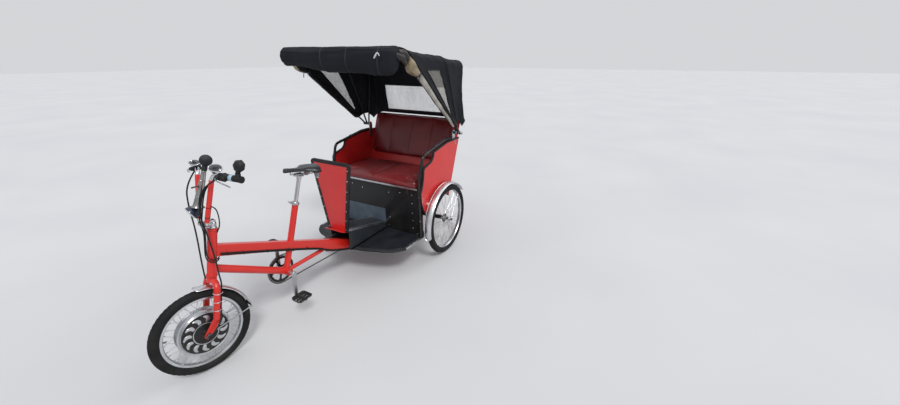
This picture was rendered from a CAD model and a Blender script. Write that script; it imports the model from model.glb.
"""Cycle rickshaw: the looks of every surface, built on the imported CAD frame.

Pieces are made in millimetres, in the same local frames as part.py, and are
turned into metres in the row frame when they are added to the scene.
"""

import math
from math import cos, pi, radians, sin

import bmesh
import bpy
from mathutils import Matrix, Vector, noise


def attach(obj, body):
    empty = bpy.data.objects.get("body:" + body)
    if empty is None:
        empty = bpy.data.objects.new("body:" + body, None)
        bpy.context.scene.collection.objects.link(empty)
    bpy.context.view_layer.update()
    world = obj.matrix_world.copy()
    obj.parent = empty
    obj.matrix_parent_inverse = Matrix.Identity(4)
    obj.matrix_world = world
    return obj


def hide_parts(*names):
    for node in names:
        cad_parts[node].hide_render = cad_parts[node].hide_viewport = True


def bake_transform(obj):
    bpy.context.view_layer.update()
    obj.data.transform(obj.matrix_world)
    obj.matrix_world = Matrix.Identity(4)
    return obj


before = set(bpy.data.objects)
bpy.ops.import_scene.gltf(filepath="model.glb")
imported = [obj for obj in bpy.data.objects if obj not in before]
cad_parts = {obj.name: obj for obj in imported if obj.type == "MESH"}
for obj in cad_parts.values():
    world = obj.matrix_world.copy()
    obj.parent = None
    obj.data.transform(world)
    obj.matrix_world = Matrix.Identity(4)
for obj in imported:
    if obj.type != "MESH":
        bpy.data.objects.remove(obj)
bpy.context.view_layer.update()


def turned(axis, angle):
    """A turn by an angle in degrees."""
    return Matrix.Rotation(radians(angle), 4, axis)


def moved(x, y, z):
    return Matrix.Translation((x, y, z))


# Frames, as in part.py
MIDDLE_X = 852
STILL = Matrix.Identity(4)
MM = moved(-MIDDLE_X / 1000, 0, 0) @ Matrix.Scale(0.001, 4)
LEAN = radians(14.4)
FRONT_R = 259
REAR_R = 327.5
FORK_OFFSET = 40
TRAIL = (FRONT_R * sin(LEAN) - FORK_OFFSET) / cos(LEAN)
STEER_X = 1909 + TRAIL
AXLE_UP = TRAIL * sin(LEAN) + FRONT_R * cos(LEAN)
SIDE = turned("X", 90)
STEER = moved(STEER_X, 0, 0) @ Matrix.Rotation(-LEAN, 4, "Y") @ turned("Z", -9)
FRONT_WHEEL = STEER @ SIDE @ moved(FORK_OFFSET, AXLE_UP, 0)
REAR_LEFT = moved(0, 560, REAR_R) @ SIDE
REAR_RIGHT = moved(0, -560, REAR_R) @ turned("X", -90)
BACK_LEAN = radians(21.45)
BACK = Matrix(
    (
        (0, -sin(BACK_LEAN), cos(BACK_LEAN), -337),
        (1, 0, 0, 0),
        (0, cos(BACK_LEAN), sin(BACK_LEAN), 1028),
        (0, 0, 0, 1),
    )
)
HOOD = Vector((-258, 0, 1085))


def hood_frame(angle):
    """The plane of a hood bow: x from the pivot to the crossbar, y across."""
    return moved(*HOOD) @ turned("Y", -angle)


# Materials


class Graph:
    """A small helper for building a material's nodes."""

    def __init__(self, name):
        self.material = bpy.data.materials.new(name)
        self.material.use_nodes = True
        self.tree = self.material.node_tree
        self.shader = self.tree.nodes["Principled BSDF"]
        coords = self.tree.nodes.new("ShaderNodeTexCoord")
        self.place = coords.outputs["Object"]
        self.uv = coords.outputs["UV"]

    def put(self, kind, **inputs):
        node = self.tree.nodes.new(kind)
        for key, value in inputs.items():
            self.feed(node.inputs[key], value)
        return node

    def feed(self, socket, value):
        if isinstance(value, bpy.types.NodeSocket):
            self.tree.links.new(value, socket)
        else:
            socket.default_value = value

    def noise(self, scale, detail=3.0, rough=0.55, stretch=None):
        where = self.place
        if stretch:
            where = self.put("ShaderNodeMapping", Vector=where, Scale=stretch).outputs[0]
        return self.put(
            "ShaderNodeTexNoise", Vector=where, Scale=scale, Detail=detail, Roughness=rough,
        ).outputs[0]

    def cells(self, scale):
        return self.put("ShaderNodeTexVoronoi", Vector=self.place, Scale=scale).outputs["Distance"]

    def span(self, value, low, high, new_low=0.0, new_high=1.0):
        node = self.put("ShaderNodeMapRange", Value=value)
        for key, number in (("From Min", low), ("From Max", high), ("To Min", new_low), ("To Max", new_high)):
            node.inputs[key].default_value = number
        return node.outputs[0]

    def math(self, operation, a, b):
        node = self.tree.nodes.new("ShaderNodeMath")
        node.operation = operation
        node.use_clamp = operation in ("MULTIPLY", "ADD")
        self.feed(node.inputs[0], a)
        self.feed(node.inputs[1], b)
        return node.outputs[0]

    def mix(self, factor, a, b):
        node = self.tree.nodes.new("ShaderNodeMix")
        node.data_type = "RGBA"
        self.feed(node.inputs[0], factor)
        self.feed(node.inputs[6], (*a, 1) if isinstance(a, tuple) else a)
        self.feed(node.inputs[7], (*b, 1) if isinstance(b, tuple) else b)
        return node.outputs[2]

    def axis(self, index, of=None):
        return self.put("ShaderNodeSeparateXYZ", Vector=of or self.place).outputs[index]

    def up(self):
        """How far a surface faces up, from 0 to 1."""
        node = self.tree.nodes.new("ShaderNodeNewGeometry")
        return self.span(self.axis(2, node.outputs["Normal"]), 0.2, 1.0)

    def bump(self, height, strength, distance, after=None):
        node = self.put("ShaderNodeBump", Strength=strength, Distance=distance, Height=height)
        if after:
            self.feed(node.inputs["Normal"], after)
        return node.outputs[0]


DIRT = (0.14, 0.115, 0.09)
DUST = (0.42, 0.4, 0.37)
WEAVE_SCALE = 260.0


def surface(
    name, colour, other, rough, dirt, dust, metal=0.0, patch=4.0, grain=0.0, grain_scale=500.0,
    cells=0.0, cell_scale=300.0, low=0.5, coat=0.0, level=0.5, weave=0.0,
):
    """A material with patches of another tone, grain, dust on top and dirt below the height low."""
    g = Graph(name)
    base = g.mix(g.span(g.noise(patch), 0.35, 0.68), colour, other)
    fine = g.noise(90.0, 4.0)
    mask = g.math("MULTIPLY", g.span(g.noise(11.0, 5.0, 0.65), 0.38, 0.72), g.span(g.axis(2), low, 0.02))
    base = g.mix(g.math("MULTIPLY", mask, dirt), base, DIRT)
    film = g.math("MULTIPLY", g.up(), g.span(g.noise(6.0, 6.0, 0.7), 0.3, 0.75))
    base = g.mix(g.math("MULTIPLY", film, dust), base, DUST)
    g.feed(g.shader.inputs["Base Color"], base)
    rough_now = g.span(fine, 0.25, 0.75, max(0.02, rough - 0.02), min(1.0, rough + 0.05))
    g.feed(g.shader.inputs["Roughness"], g.math("ADD", rough_now, g.math("MULTIPLY", mask, 0.35 * dirt)))
    settings = {"Metallic": metal, "Coat Weight": coat, "Coat Roughness": 0.12, "Specular IOR Level": level}
    for key, value in settings.items():
        g.shader.inputs[key].default_value = value
    normal = None
    if grain:
        normal = g.bump(g.noise(grain_scale, 3.0), grain, 0.0006)
    if cells:
        normal = g.bump(g.cells(cell_scale), cells, 0.0012, normal)
    if weave:
        threads = []
        for way in ("X", "Y"):
            threads.append(g.put("ShaderNodeTexWave", Vector=g.uv, Scale=WEAVE_SCALE))
            threads[-1].bands_direction = way
        normal = g.bump(g.math("MAXIMUM", *(t.outputs[1] for t in threads)), weave, 0.0005, normal)
    if normal:
        g.feed(g.shader.inputs["Normal"], normal)
    return g.material


def clear_sheet(name, colour, clear):
    """Hazy clear plastic with wipe marks."""
    g = Graph(name)
    haze = g.span(g.noise(5.0, 6.0, 0.7, stretch=(1, 1, 0.25)), 0.3, 0.75)
    g.feed(g.shader.inputs["Base Color"], g.mix(haze, colour, tuple(c * 0.8 for c in colour)))
    g.feed(g.shader.inputs["Roughness"], g.span(haze, 0, 1, 0.12, 0.4))
    g.feed(g.shader.inputs["Alpha"], g.span(haze, 0, 1, 1 - clear, min(1.0, 1.25 - clear)))
    g.shader.inputs["Specular IOR Level"].default_value = 0.7
    g.feed(g.shader.inputs["Normal"], g.bump(g.noise(14.0, 3.0), 0.4, 0.004))
    return g.material


# name, colour, its other tone, roughness, dirt, dust
RED = surface("frame_red", (0.66, 0.018, 0.009), (0.6, 0.014, 0.008), 0.3, 0.12, 0.08, coat=0.25)
PANEL = surface("panel_red", (0.64, 0.018, 0.016), (0.59, 0.015, 0.014), 0.38, 0.14, 0.06, coat=0.15, low=0.9)
CHROME = surface("chrome", (0.74, 0.74, 0.76), (0.6, 0.6, 0.62), 0.1, 0.45, 0.1, metal=1.0)
FENDER = surface("fender_silver", (0.8, 0.81, 0.83), (0.7, 0.71, 0.73), 0.3, 0.45, 0.12, metal=1.0)
ALLOY = surface("alloy", (0.6, 0.61, 0.63), (0.45, 0.46, 0.48), 0.32, 0.6, 0.15, metal=1.0)
RIM = surface("rim_alloy", (0.72, 0.73, 0.75), (0.58, 0.59, 0.61), 0.26, 0.45, 0.1, metal=1.0)
STEEL = surface("dark_steel", (0.16, 0.155, 0.15), (0.09, 0.08, 0.07), 0.38, 0.8, 0.2, metal=1.0)
BLACK = surface(
    "black_paint", (0.006, 0.006, 0.007), (0.011, 0.011, 0.011), 0.36, 0.2, 0.04, coat=0.08, grain=0.08,
    level=0.35,
)
MATT = surface(
    "black_plastic", (0.008, 0.008, 0.009), (0.014, 0.014, 0.015), 0.5, 0.15, 0.05, grain=0.3,
    grain_scale=700, level=0.3,
)
RUBBER = surface(
    "rubber", (0.011, 0.011, 0.012), (0.02, 0.0195, 0.019), 0.68, 0.25, 0.08, grain=0.3, level=0.22,
)
TYRE = surface(
    "tyre_rubber", (0.007, 0.0075, 0.009), (0.013, 0.013, 0.014), 0.66, 0.12, 0.03, patch=9.0, grain=0.3,
    grain_scale=420, low=0.9, level=0.18,
)
FLOOR = surface(
    "floor_mat", (0.014, 0.019, 0.025), (0.024, 0.029, 0.035), 0.55, 0.25, 0.07, patch=7.0, grain=0.4,
    grain_scale=300, low=0.6, level=0.3,
)
VINYL = surface(
    "seat_vinyl", (0.2, 0.008, 0.01), (0.15, 0.006, 0.008), 0.34, 0.1, 0.06, cells=0.25, cell_scale=420,
    coat=0.1,
)
SADDLE = surface(
    "saddle_skin", (0.008, 0.009, 0.013), (0.02, 0.026, 0.036), 0.34, 0.1, 0.1, patch=14.0, cells=0.25,
    cell_scale=380, coat=0.15,
)
CLOTH = surface(
    "hood_cloth", (0.006, 0.0068, 0.0105), (0.011, 0.0115, 0.016), 0.7, 0.0, 0.022, patch=3.0, weave=0.4,
    level=0.2,
)
BINDING = surface(
    "hood_binding", (0.006, 0.006, 0.008), (0.011, 0.011, 0.013), 0.6, 0.0, 0.04, grain=0.5, grain_scale=900,
    level=0.2,
)
WEB = surface(
    "webbing", (0.013, 0.018, 0.03), (0.01, 0.013, 0.022), 0.65, 0.0, 0.15, grain=0.5, grain_scale=800,
)
CURTAIN = surface(
    "rolled_sheet", (0.42, 0.4, 0.35), (0.16, 0.14, 0.115), 0.28, 0.0, 0.12, patch=9.0, grain=0.15,
    grain_scale=60, coat=0.4, level=0.7,
)
LENS = surface(
    "red_lens", (0.5, 0.01, 0.012), (0.4, 0.008, 0.01), 0.18, 0.2, 0.1, cells=0.5, cell_scale=120, coat=0.6,
)
GLASS = surface(
    "lamp_glass", (0.7, 0.72, 0.75), (0.504, 0.5184, 0.54), 0.12, 0.2, 0.1, metal=0.6, cells=0.5,
    cell_scale=90, coat=0.6,
)
WINDOW = clear_sheet("window_sheet", (0.3, 0.28, 0.25), 0.68)
WHITE_RIVET = surface("bright_rivet", (0.72, 0.73, 0.75), (0.6, 0.6, 0.62), 0.25, 0.2, 0.1, metal=0.9)
TRIM_METAL = surface(
    "edge_metal", (0.62, 0.64, 0.67), (0.45, 0.47, 0.5), 0.3, 0.5, 0.15, metal=1.0, patch=18.0, grain=0.2,
)
BEAD = surface(
    "rubber_edge", (0.006, 0.006, 0.008), (0.02, 0.02, 0.022), 0.5, 0.15, 0.04, grain=0.2, grain_scale=600,
    level=0.3,
)
BLACK_TUBE = surface(
    "tube_black", (0.006, 0.006, 0.007), (0.01, 0.01, 0.01), 0.24, 0.1, 0.03, coat=0.25, level=0.4,
)
FLOOR_DARK = surface(
    "floor_sheet", (0.005, 0.007, 0.012), (0.011, 0.013, 0.02), 0.4, 0.15, 0.03, patch=9.0, grain=0.25,
    grain_scale=200, coat=0.05, level=0.3,
)
PIPING = surface(
    "piping", (0.13, 0.006, 0.008), (0.09, 0.005, 0.006), 0.4, 0.1, 0.05, grain=0.3, grain_scale=900,
)
AMBER = surface(
    "amber_lens", (0.75, 0.25, 0.02), (0.6, 0.18, 0.015), 0.2, 0.1, 0.1, cells=0.5, cell_scale=140, coat=0.5,
)
AGED = surface(
    "aged_sheet", (0.3, 0.23, 0.12), (0.12, 0.09, 0.05), 0.35, 0.0, 0.06, patch=16.0, grain=0.15,
    grain_scale=60, coat=0.3, level=0.7,
)
PALE = surface("pale_plastic", (0.75, 0.76, 0.78), (0.62, 0.63, 0.65), 0.35, 0.15, 0.1, patch=40.0)
BACK_WINDOW = clear_sheet("back_window_sheet", (0.75, 0.76, 0.76), 0.86)
BUNDLE = surface(
    "folded_corner", (0.03, 0.024, 0.02), (0.012, 0.011, 0.012), 0.45, 0.0, 0.08, patch=18.0, grain=0.2,
    grain_scale=80, coat=0.15, level=0.4,
)
HORN_METAL = surface(
    "horn_metal", (0.42, 0.43, 0.42), (0.26, 0.25, 0.22), 0.12, 0.4, 0.1, metal=1.0, patch=26.0,
)
KICK = surface(
    "kick_mat", (0.06, 0.085, 0.115), (0.09, 0.12, 0.15), 0.55, 0.3, 0.15, patch=9.0, grain=0.4,
    grain_scale=300, low=0.4,
)
BULB = surface(
    "horn_bulb", (0.014, 0.017, 0.02), (0.024, 0.027, 0.031), 0.6, 0.1, 0.12, grain=0.25, grain_scale=350,
    level=0.3,
)
BAND = surface(
    "reflective_band", (0.3, 0.5, 0.62), (0.45, 0.6, 0.68), 0.3, 0.1, 0.1, metal=0.2, patch=60.0, cells=0.4,
    cell_scale=900,
)
SCREEN = surface(
    "dial_face", (0.012, 0.014, 0.02), (0.03, 0.035, 0.045), 0.15, 0.1, 0.1, patch=30.0, coat=0.6,
)
MIRROR = surface("mirror_glass", (0.75, 0.77, 0.79), (0.68, 0.7, 0.72), 0.06, 0.1, 0.05, metal=1.0)
TIE = surface("pale_tie", (0.62, 0.63, 0.65), (0.5, 0.5, 0.52), 0.4, 0.3, 0.1, patch=40.0)
LAMP_SHELL = surface("lamp_shell", (0.01, 0.02, 0.042), (0.014, 0.024, 0.048), 0.32, 0.1, 0.05, coat=0.2)

NODE_LOOKS = {
    RED: "main_tube lower_tube seat_tube lower_stay head_tube chassis_rails risers fork",
    PANEL: "side_panel_left side_panel_right back_panel dash_panel",
    BLACK: "seat_front seat_deck rear_axle jackshaft rear_bow mid_bow front_bow arm_rests crankset",
    FENDER: "front_fender rear_fenders",
    CHROME: "handlebar stem seat_post horn",
    ALLOY: "brake_levers front_axle hood_brackets",
    RIM: "front_wheel rear_wheel_left rear_wheel_right",
    TYRE: "front_tyre rear_tyre_left rear_tyre_right",
    MATT: "hub_motor battery headlamp mirror pedal_left pedal_right",
    STEEL: "chains",
    FLOOR: "floor_pan tunnel",
    VINYL: "seat_cushion back_cushion",
    SADDLE: "saddle",
    CLOTH: "hood_cloth_front hood_cloth_rear hood_back curtain_roll",
    WINDOW: "hood_windows",
    CURTAIN: "side_curtains",
    RUBBER: "grips bar_cables frame_cables",
    LENS: "rear_lamps",
}
for look, names in NODE_LOOKS.items():
    for name in names.split():
        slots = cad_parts[name].data.materials
        slots.clear()
        slots.append(look)
# Shapes


class Shape:
    """Vertices in a local frame, faces, and a look and texture place for each face."""

    def __init__(self):
        self.verts = []
        self.faces = []
        self.looks = []
        self.uvs = {}

    def add(self, made, look=0, at=None):
        start = len(self.verts)
        self.verts += [at @ Vector(v) if at else Vector(v) for v in made[0]]
        self.faces += [tuple(i + start for i in face) for face in made[1]]
        self.looks += [look] * len(made[1])
        if len(made) > 2:
            for i, uv in enumerate(made[2]):
                self.uvs[start + i] = uv
        return self


def grid_faces(rows, across, loop=False, ends=False, closed=False):
    """Faces of rows of points. Each row is a ring if loop, and the last joins the first if closed."""
    faces = []
    for i in range(rows if closed else rows - 1):
        here, there = i * across, (i + 1) % rows * across
        for k in range(across if loop else across - 1):
            n = (k + 1) % across
            faces.append((here + k, here + n, there + n, there + k))
    if ends:
        faces += [tuple(range(across)), tuple(range((rows - 1) * across, rows * across))]
    return faces


def around(count, place):
    """Points at equal steps round a circle, each given by its angle."""
    return [place(2 * pi * k / count) for k in range(count)]


def lathe(profile, steps=64, ring=True):
    """A profile of (radius, z) turned about Z. With ring it is a closed loop, else it ends on the axis."""
    count = len(profile)
    turns = around(steps, lambda a: [(r * cos(a), r * sin(a), z) for r, z in profile])
    verts = [p for turn in turns for p in turn]
    faces = [(a, d, c, b) for a, b, c, d in grid_faces(steps, count, ring, closed=True)]
    if not ring:
        faces.append(tuple(k * count for k in reversed(range(steps))))
        faces.append(tuple(k * count + count - 1 for k in range(steps)))
    return verts, faces


def pipe(points, radius, sides=10, loop=False, wide=1.0):
    """A tube along points. The radius is a number, or one for each point."""
    points = [Vector(p) for p in points]
    count = len(points)
    radii = radius if hasattr(radius, "__len__") else [radius] * count
    verts = []
    ahead = None
    for i, p in enumerate(points):
        before = points[i - 1] if i or loop else p
        after = points[(i + 1) % count] if i < count - 1 or loop else p
        way = (after - before).normalized()
        if ahead is None:
            ahead = way.orthogonal().normalized()
        ahead = (ahead - way * ahead.dot(way)).normalized()
        side = way.cross(ahead)
        verts += around(sides, lambda a: p + (ahead * cos(a) + side * sin(a) * wide) * radii[i])
    return verts, grid_faces(count, sides, loop=True, ends=not loop, closed=loop)


def curve_through(points, steps=8):
    """Points on a smooth curve through the given points."""
    points = [Vector(p) for p in points]
    last = len(points) - 1
    line = []
    for i in range(last):
        p, q, r, s = (points[min(max(i + j, 0), last)] for j in (-1, 0, 1, 2))
        for k in range(steps):
            t = k / steps
            bend = (2 * p - 5 * q + 4 * r - s) * t * t + (3 * q - p - 3 * r + s) * t ** 3
            line.append(0.5 * (2 * q + (r - p) * t + bend))
    return line + [points[-1]]


def slab(outline, low, high, edge=0.0):
    """A flat plate with that outline, from z low to high, with its edges broken."""
    count = len(outline)
    flat = [Vector((x, y, 0)) for x, y in outline]
    area = sum(a.x * b.y - b.x * a.y for a, b in zip(flat, flat[1:] + flat[:1]))
    turn = 1 if area > 0 else -1
    inner = []
    for i, p in enumerate(flat):
        a = (p - flat[i - 1]).normalized()
        b = (flat[(i + 1) % count] - p).normalized()
        inward = Vector((-a.y - b.y, a.x + b.x, 0)) * turn
        inner.append(p + inward.normalized() * edge if inward.length > 1e-6 else p)
    rings = [(flat, low), (flat, high)]
    if edge:
        rings = [(inner, low), (flat, low + edge), (flat, high - edge), (inner, high)]
    verts = [(p.x, p.y, z) for ring, z in rings for p in ring]
    caps = [tuple(reversed(range(count))), tuple(range(len(verts) - count, len(verts)))]
    return verts, caps + grid_faces(len(rings), count, loop=True)


def sweep(points, profile, up=(0, 0, 1), loop=False):
    """A closed profile carried along points in a plane. Its x is to the path's right, its y along up."""
    points = [Vector(p) for p in points]
    up = Vector(up).normalized()
    count = len(points)
    verts = []
    for i, p in enumerate(points):
        before = (p - points[i - 1]).normalized() if i or loop else None
        after = (points[(i + 1) % count] - p).normalized() if i < count - 1 or loop else None
        before, after = before or after, after or before
        side = (before + after).cross(up).normalized()
        grow = 1 / max(0.6, side.dot(after.cross(up).normalized()))
        verts += [p + side * (x * grow) + up * y for x, y in profile]
    return verts, grid_faces(count, len(profile), loop=True, ends=not loop, closed=loop)


def bent(points, radii, steps=8):
    """A path along straight runs joined by bends."""
    points = [Vector(p) for p in points]
    path = [points[0]]
    for a, p, b, r in zip(points, points[1:], points[2:], radii):
        u, w = (a - p).normalized(), (b - p).normalized()
        half = u.angle(w) / 2
        centre = p + (u + w).normalized() * (r / sin(half))
        first = p + u * (r / math.tan(half)) - centre
        last = p + w * (r / math.tan(half)) - centre
        total = first.angle(last)
        for k in range(steps + 1):
            t = k / steps
            path.append(centre + (first * sin((1 - t) * total) + last * sin(t * total)) / sin(total))
    return path + [points[-1]]


def arc(a, m, b, steps=8):
    """Points from a to b on the circle through a, m and b."""
    d = 2 * (a[0] * (m[1] - b[1]) + m[0] * (b[1] - a[1]) + b[0] * (a[1] - m[1]))
    sizes = [p[0] ** 2 + p[1] ** 2 for p in (a, m, b)]
    x = (sizes[0] * (m[1] - b[1]) + sizes[1] * (b[1] - a[1]) + sizes[2] * (a[1] - m[1])) / d
    y = (sizes[0] * (b[0] - m[0]) + sizes[1] * (a[0] - b[0]) + sizes[2] * (m[0] - a[0])) / d
    start, middle, end = (math.atan2(p[1] - y, p[0] - x) for p in (a, m, b))
    turn = (end - start) % (2 * pi)
    if (middle - start) % (2 * pi) > turn:
        turn -= 2 * pi
    r = math.hypot(a[0] - x, a[1] - y)
    angles = [start + turn * k / steps for k in range(steps + 1)]
    return [(x + r * cos(t), y + r * sin(t)) for t in angles]


def circle_points(radius, count, x=0.0, y=0.0):
    return around(count, lambda a: (x + radius * cos(a), y + radius * sin(a)))


def bow_points(radius, start, end, steps, x=0.0, y=0.0):
    """Points along a circle from one angle to another, in degrees."""
    angles = [radians(start + (end - start) * k / steps) for k in range(steps + 1)]
    return [(x + radius * cos(a), y + radius * sin(a)) for a in angles]


def rounded(width, height, radius, steps=5, x=0.0, y=0.0):
    """The outline of a rectangle with round corners."""
    points = []
    for k, (sx, sy) in enumerate(((1, 1), (-1, 1), (-1, -1), (1, -1))):
        cx, cy = x + sx * (width / 2 - radius), y + sy * (height / 2 - radius)
        points += bow_points(radius, 90 * k, 90 * k + 90, steps, cx, cy)
    return points


def head(radius, height, sides=14):
    """A domed rivet or bolt head that stands on z 0."""
    dome = [(1, -0.6), (1, height * 0.35), (0.8, height * 0.8), (0.35, height)]
    return lathe([(radius * share, z) for share, z in dome], sides, ring=False)


def nut(radius, height):
    """A hexagon nut with a washer under it."""
    made = Shape().add(slab(circle_points(radius, 6), 1.5, height, radius * 0.08))
    made.add(slab(circle_points(radius * 1.25, 20), 0, 1.6, 0.4))
    return made.verts, made.faces


def ball(radius, across=20, down=12):
    profile = [(radius * sin(pi * k / down), -radius * cos(pi * k / down)) for k in range(1, down)]
    ends = (radius * 0.05, -radius * 0.999), (radius * 0.05, radius * 0.999)
    return lathe([ends[0]] + profile + [ends[1]], across, ring=False)


def facing(place, way):
    """A frame at a place whose z looks along way."""
    return moved(*place) @ Vector(way).to_track_quat("Z", "Y").to_matrix().to_4x4()


def add_object(name, data):
    obj = bpy.data.objects.new(name, data)
    bpy.context.scene.collection.objects.link(obj)
    return obj


def piece(name, shape, place, looks, body, instead="", sharp=35):
    """Add a shape to the scene, riding on a body, in place of CAD nodes if they are named."""
    mesh = bpy.data.meshes.new(name)
    mesh.from_pydata([MM @ place @ v for v in shape.verts], [], shape.faces)
    for look in looks:
        mesh.materials.append(look)
    mesh.polygons.foreach_set("material_index", shape.looks)
    if shape.uvs:
        layer = mesh.uv_layers.new(name="cloth")
        for loop in mesh.loops:
            layer.data[loop.index].uv = shape.uvs.get(loop.vertex_index, (0, 0))
    made = bmesh.new()
    made.from_mesh(mesh)
    bmesh.ops.recalc_face_normals(made, faces=made.faces)
    made.to_mesh(mesh)
    made.free()
    mesh.shade_smooth()
    mesh.set_sharp_from_angle(angle=radians(sharp))
    obj = add_object(name, mesh)
    if body:
        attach(obj, body)
    if instead:
        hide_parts(*instead.split())
    return obj


def keep_modifiers(obj):
    graph = bpy.context.evaluated_depsgraph_get()
    fresh = bpy.data.meshes.new_from_object(obj.evaluated_get(graph))
    obj.modifiers.clear()
    obj.data = fresh


def finer(obj, levels):
    """Subdivide a mesh smoothly, and keep the result."""
    subdivide = obj.modifiers.new("finer", "SUBSURF")
    subdivide.levels = subdivide.render_levels = levels
    keep_modifiers(obj)


def near_line(value, at, wide):
    """One at a place, falling to nothing away from it."""
    return math.exp(-(((value - at) / wide) ** 2))


def on_mesh(obj, place, points, way, lift=0.0):
    """Points laid on a mesh: rays go along way, and all is in that place's frame, in millimetres."""
    to_world = MM @ place
    back = to_world.inverted()
    direction = (to_world.to_3x3() @ Vector(way)).normalized()
    line = []
    for p in points:
        hit, found, normal = obj.ray_cast(to_world @ Vector(p), direction)[:3]
        if hit:
            line.append(back @ (found + normal * lift / 1000))
    return line


def between(a, b, count):
    return [Vector(a).lerp(Vector(b), k / count) for k in range(count + 1)]


def fender_mesh(radius, half, start, end, steps=72):
    """A crowned strip about Z with rolled edges and round ends."""
    columns, crown, bead, corner, thick = 19, 10, 2.6, 26, 1.6
    rows = []
    length = radians(end - start) * radius
    for k in range(steps + 1):
        a = radians(start + (end - start) * k / steps)
        gap = min(k, steps - k) / steps * length
        narrow = half
        if gap < corner:
            narrow = half - corner + math.sqrt(max(0.0, corner ** 2 - (corner - gap) ** 2))
        ring = []
        for j in range(columns):
            w = -1 + 2 * j / (columns - 1)
            ring.append((radius + 1.0 - crown * (w * narrow / half) ** 2, w * narrow))
        inner = [(r - thick, z) for r, z in reversed(ring[1:-1])]
        hems = []
        for (r, z), side, turns in ((ring[0], -1, (0.6, 1, 1.4)), (ring[-1], 1, (-0.4, 0, 0.4))):
            hems.append([(r + bead * sin(b * pi) - 0.4, z + side * 1.2 + bead * cos(b * pi)) for b in turns])
        section = hems[0][:1] + ring + hems[1][::-1] + inner + hems[0][:0:-1]
        rows.append([(r * cos(a), r * sin(a), z) for r, z in section])
    return [p for row in rows for p in row], grid_faces(len(rows), len(rows[0]), loop=True, ends=True)


# Wheels
REAR_RIM = 284
FRONT_RIM = 209
SPOKES = 36


def tread_drop(angle, step, late):
    """How far a tyre's skin is cut in at an angle from its crown. late shifts the blocks of one side."""
    size = abs(angle)
    if 0.09 < size < 0.29 or 0.54 < size < 0.77:
        return 1.8
    if 0.29 < size < 0.54 and (step + late) % 4 == 0:
        return 1.8
    if 0.77 < size < 1.0 and (step + late) % 4 == 1:
        return 1.6
    return 0.5 if 1.1 < size < 1.25 else 0.0


def tyre_mesh(outer, rim, blocks):
    """A tyre with a round section, a raised centre rib and staggered tread blocks."""
    section = 27
    steps = blocks * 4
    low = math.acos((outer - section - rim) / section)
    angles = [pi - low, 2.2, 1.95, 1.7, 1.45, 1.2, 1.02, 0.99, 0.78, 0.76, 0.56, 0.53, 0.3, 0.28, 0.1, 0.08]
    angles += [-a for a in reversed(angles)]
    verts = []
    for k in range(steps):
        turn = 2 * pi * k / steps
        for a in angles:
            deep = section - tread_drop(a, k, 2 if a > 0 else 0)
            r = outer - section + deep * cos(a)
            verts.append((r * cos(turn), r * sin(turn), deep * sin(a)))
    return verts, grid_faces(steps, len(angles), loop=True, closed=True)


def rim_mesh(rim):
    """A box-section rim with side lips and a rounded inner wall."""
    half = [(3, 12.5), (3, 15.2), (-1, 16.4), (-11, 15.2), (-15, 9), (-17.5, 3)]
    profile = [(rim + r, -z) for r, z in half] + [(rim + r, z) for r, z in reversed(half)]
    return lathe(profile + [(rim - 3, 11), (rim - 3, -11)], 96)


def wheel_spokes(shape, flange, half, rim, lead_degrees, dish=0.1):
    """Crossed spokes with their bent heads at the flange and nipples at the rim."""
    for k in range(SPOKES):
        at = 2 * pi * k / SPOKES
        crossed = 1 if k // 2 % 2 else -1
        lead = radians(lead_degrees * crossed)
        side = 1 if k % 2 else -1
        root = Vector((flange * cos(at + lead), flange * sin(at + lead), side * (half + 2.5 * crossed)))
        seat = Vector(((rim - 15) * cos(at), (rim - 15) * sin(at), side * half * dish))
        way = (seat - root).normalized()
        wire = [root - Vector((0, 0, side * 3)), root, root + way * 5, seat - way * 12]
        shape.add(pipe(wire, 1.15, 6), 1)
        shape.add(pipe([seat - way * 16, seat - way * 14, seat + way * 2], [1.6, 2.3, 2.6], 8), 1)


def valve(shape, places):
    shape.add(pipe([(x, 0, 0) for x in places], [3.2, 3.2, 3, 2], 8), 2)


HUB = [
    (6.1, -42), (13, -42), (15.5, -39), (15.5, -33), (30, -32), (31.5, -30), (30, -28), (20, -25),
    (16.5, -15), (16.5, 15), (20, 25), (30, 28), (31.5, 30), (30, 32), (22, 34), (22, 37), (6.1, 37),
]
for side, place in (("left", REAR_LEFT), ("right", REAR_RIGHT)):
    tyre = Shape().add(tyre_mesh(REAR_R, REAR_RIM, 72))
    bead = [(275.5, 21.2), (281, 19.5), (284.5, 21.6), (281, 22.6)]
    for hand in (-1, 1):
        tyre.add(lathe([(r, z * hand) for r, z in bead], 96))
    piece(f"tyre_rear_{side}", tyre, place, [TYRE], f"{side}_hub", f"rear_tyre_{side}", sharp=40)
    wheel = Shape().add(rim_mesh(REAR_RIM)).add(lathe(HUB, 40), 1)
    wheel.add(lathe([(23, 24), (39, 24.5), (41, 26), (39, 27.5), (23, 28)], 48), 3)
    wheel_spokes(wheel, 28, 30, REAR_RIM, 68)
    valve(wheel, (268, 262, 248, 246))
    looks = [RIM, ALLOY, RUBBER, STEEL]
    piece(f"wheel_rear_{side}", wheel, place, looks, f"{side}_hub", f"rear_wheel_{side}")
    cap = Shape().add(nut(10.5, 9), at=moved(0, 0, -46.5) @ turned("X", 180))
    cap.add(lathe([(6, -60), (6.2, -46), (3, -46), (3, -60)], 16))
    piece(f"axle_nut_{side}", cap, place, [ALLOY], "chassis")

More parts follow.
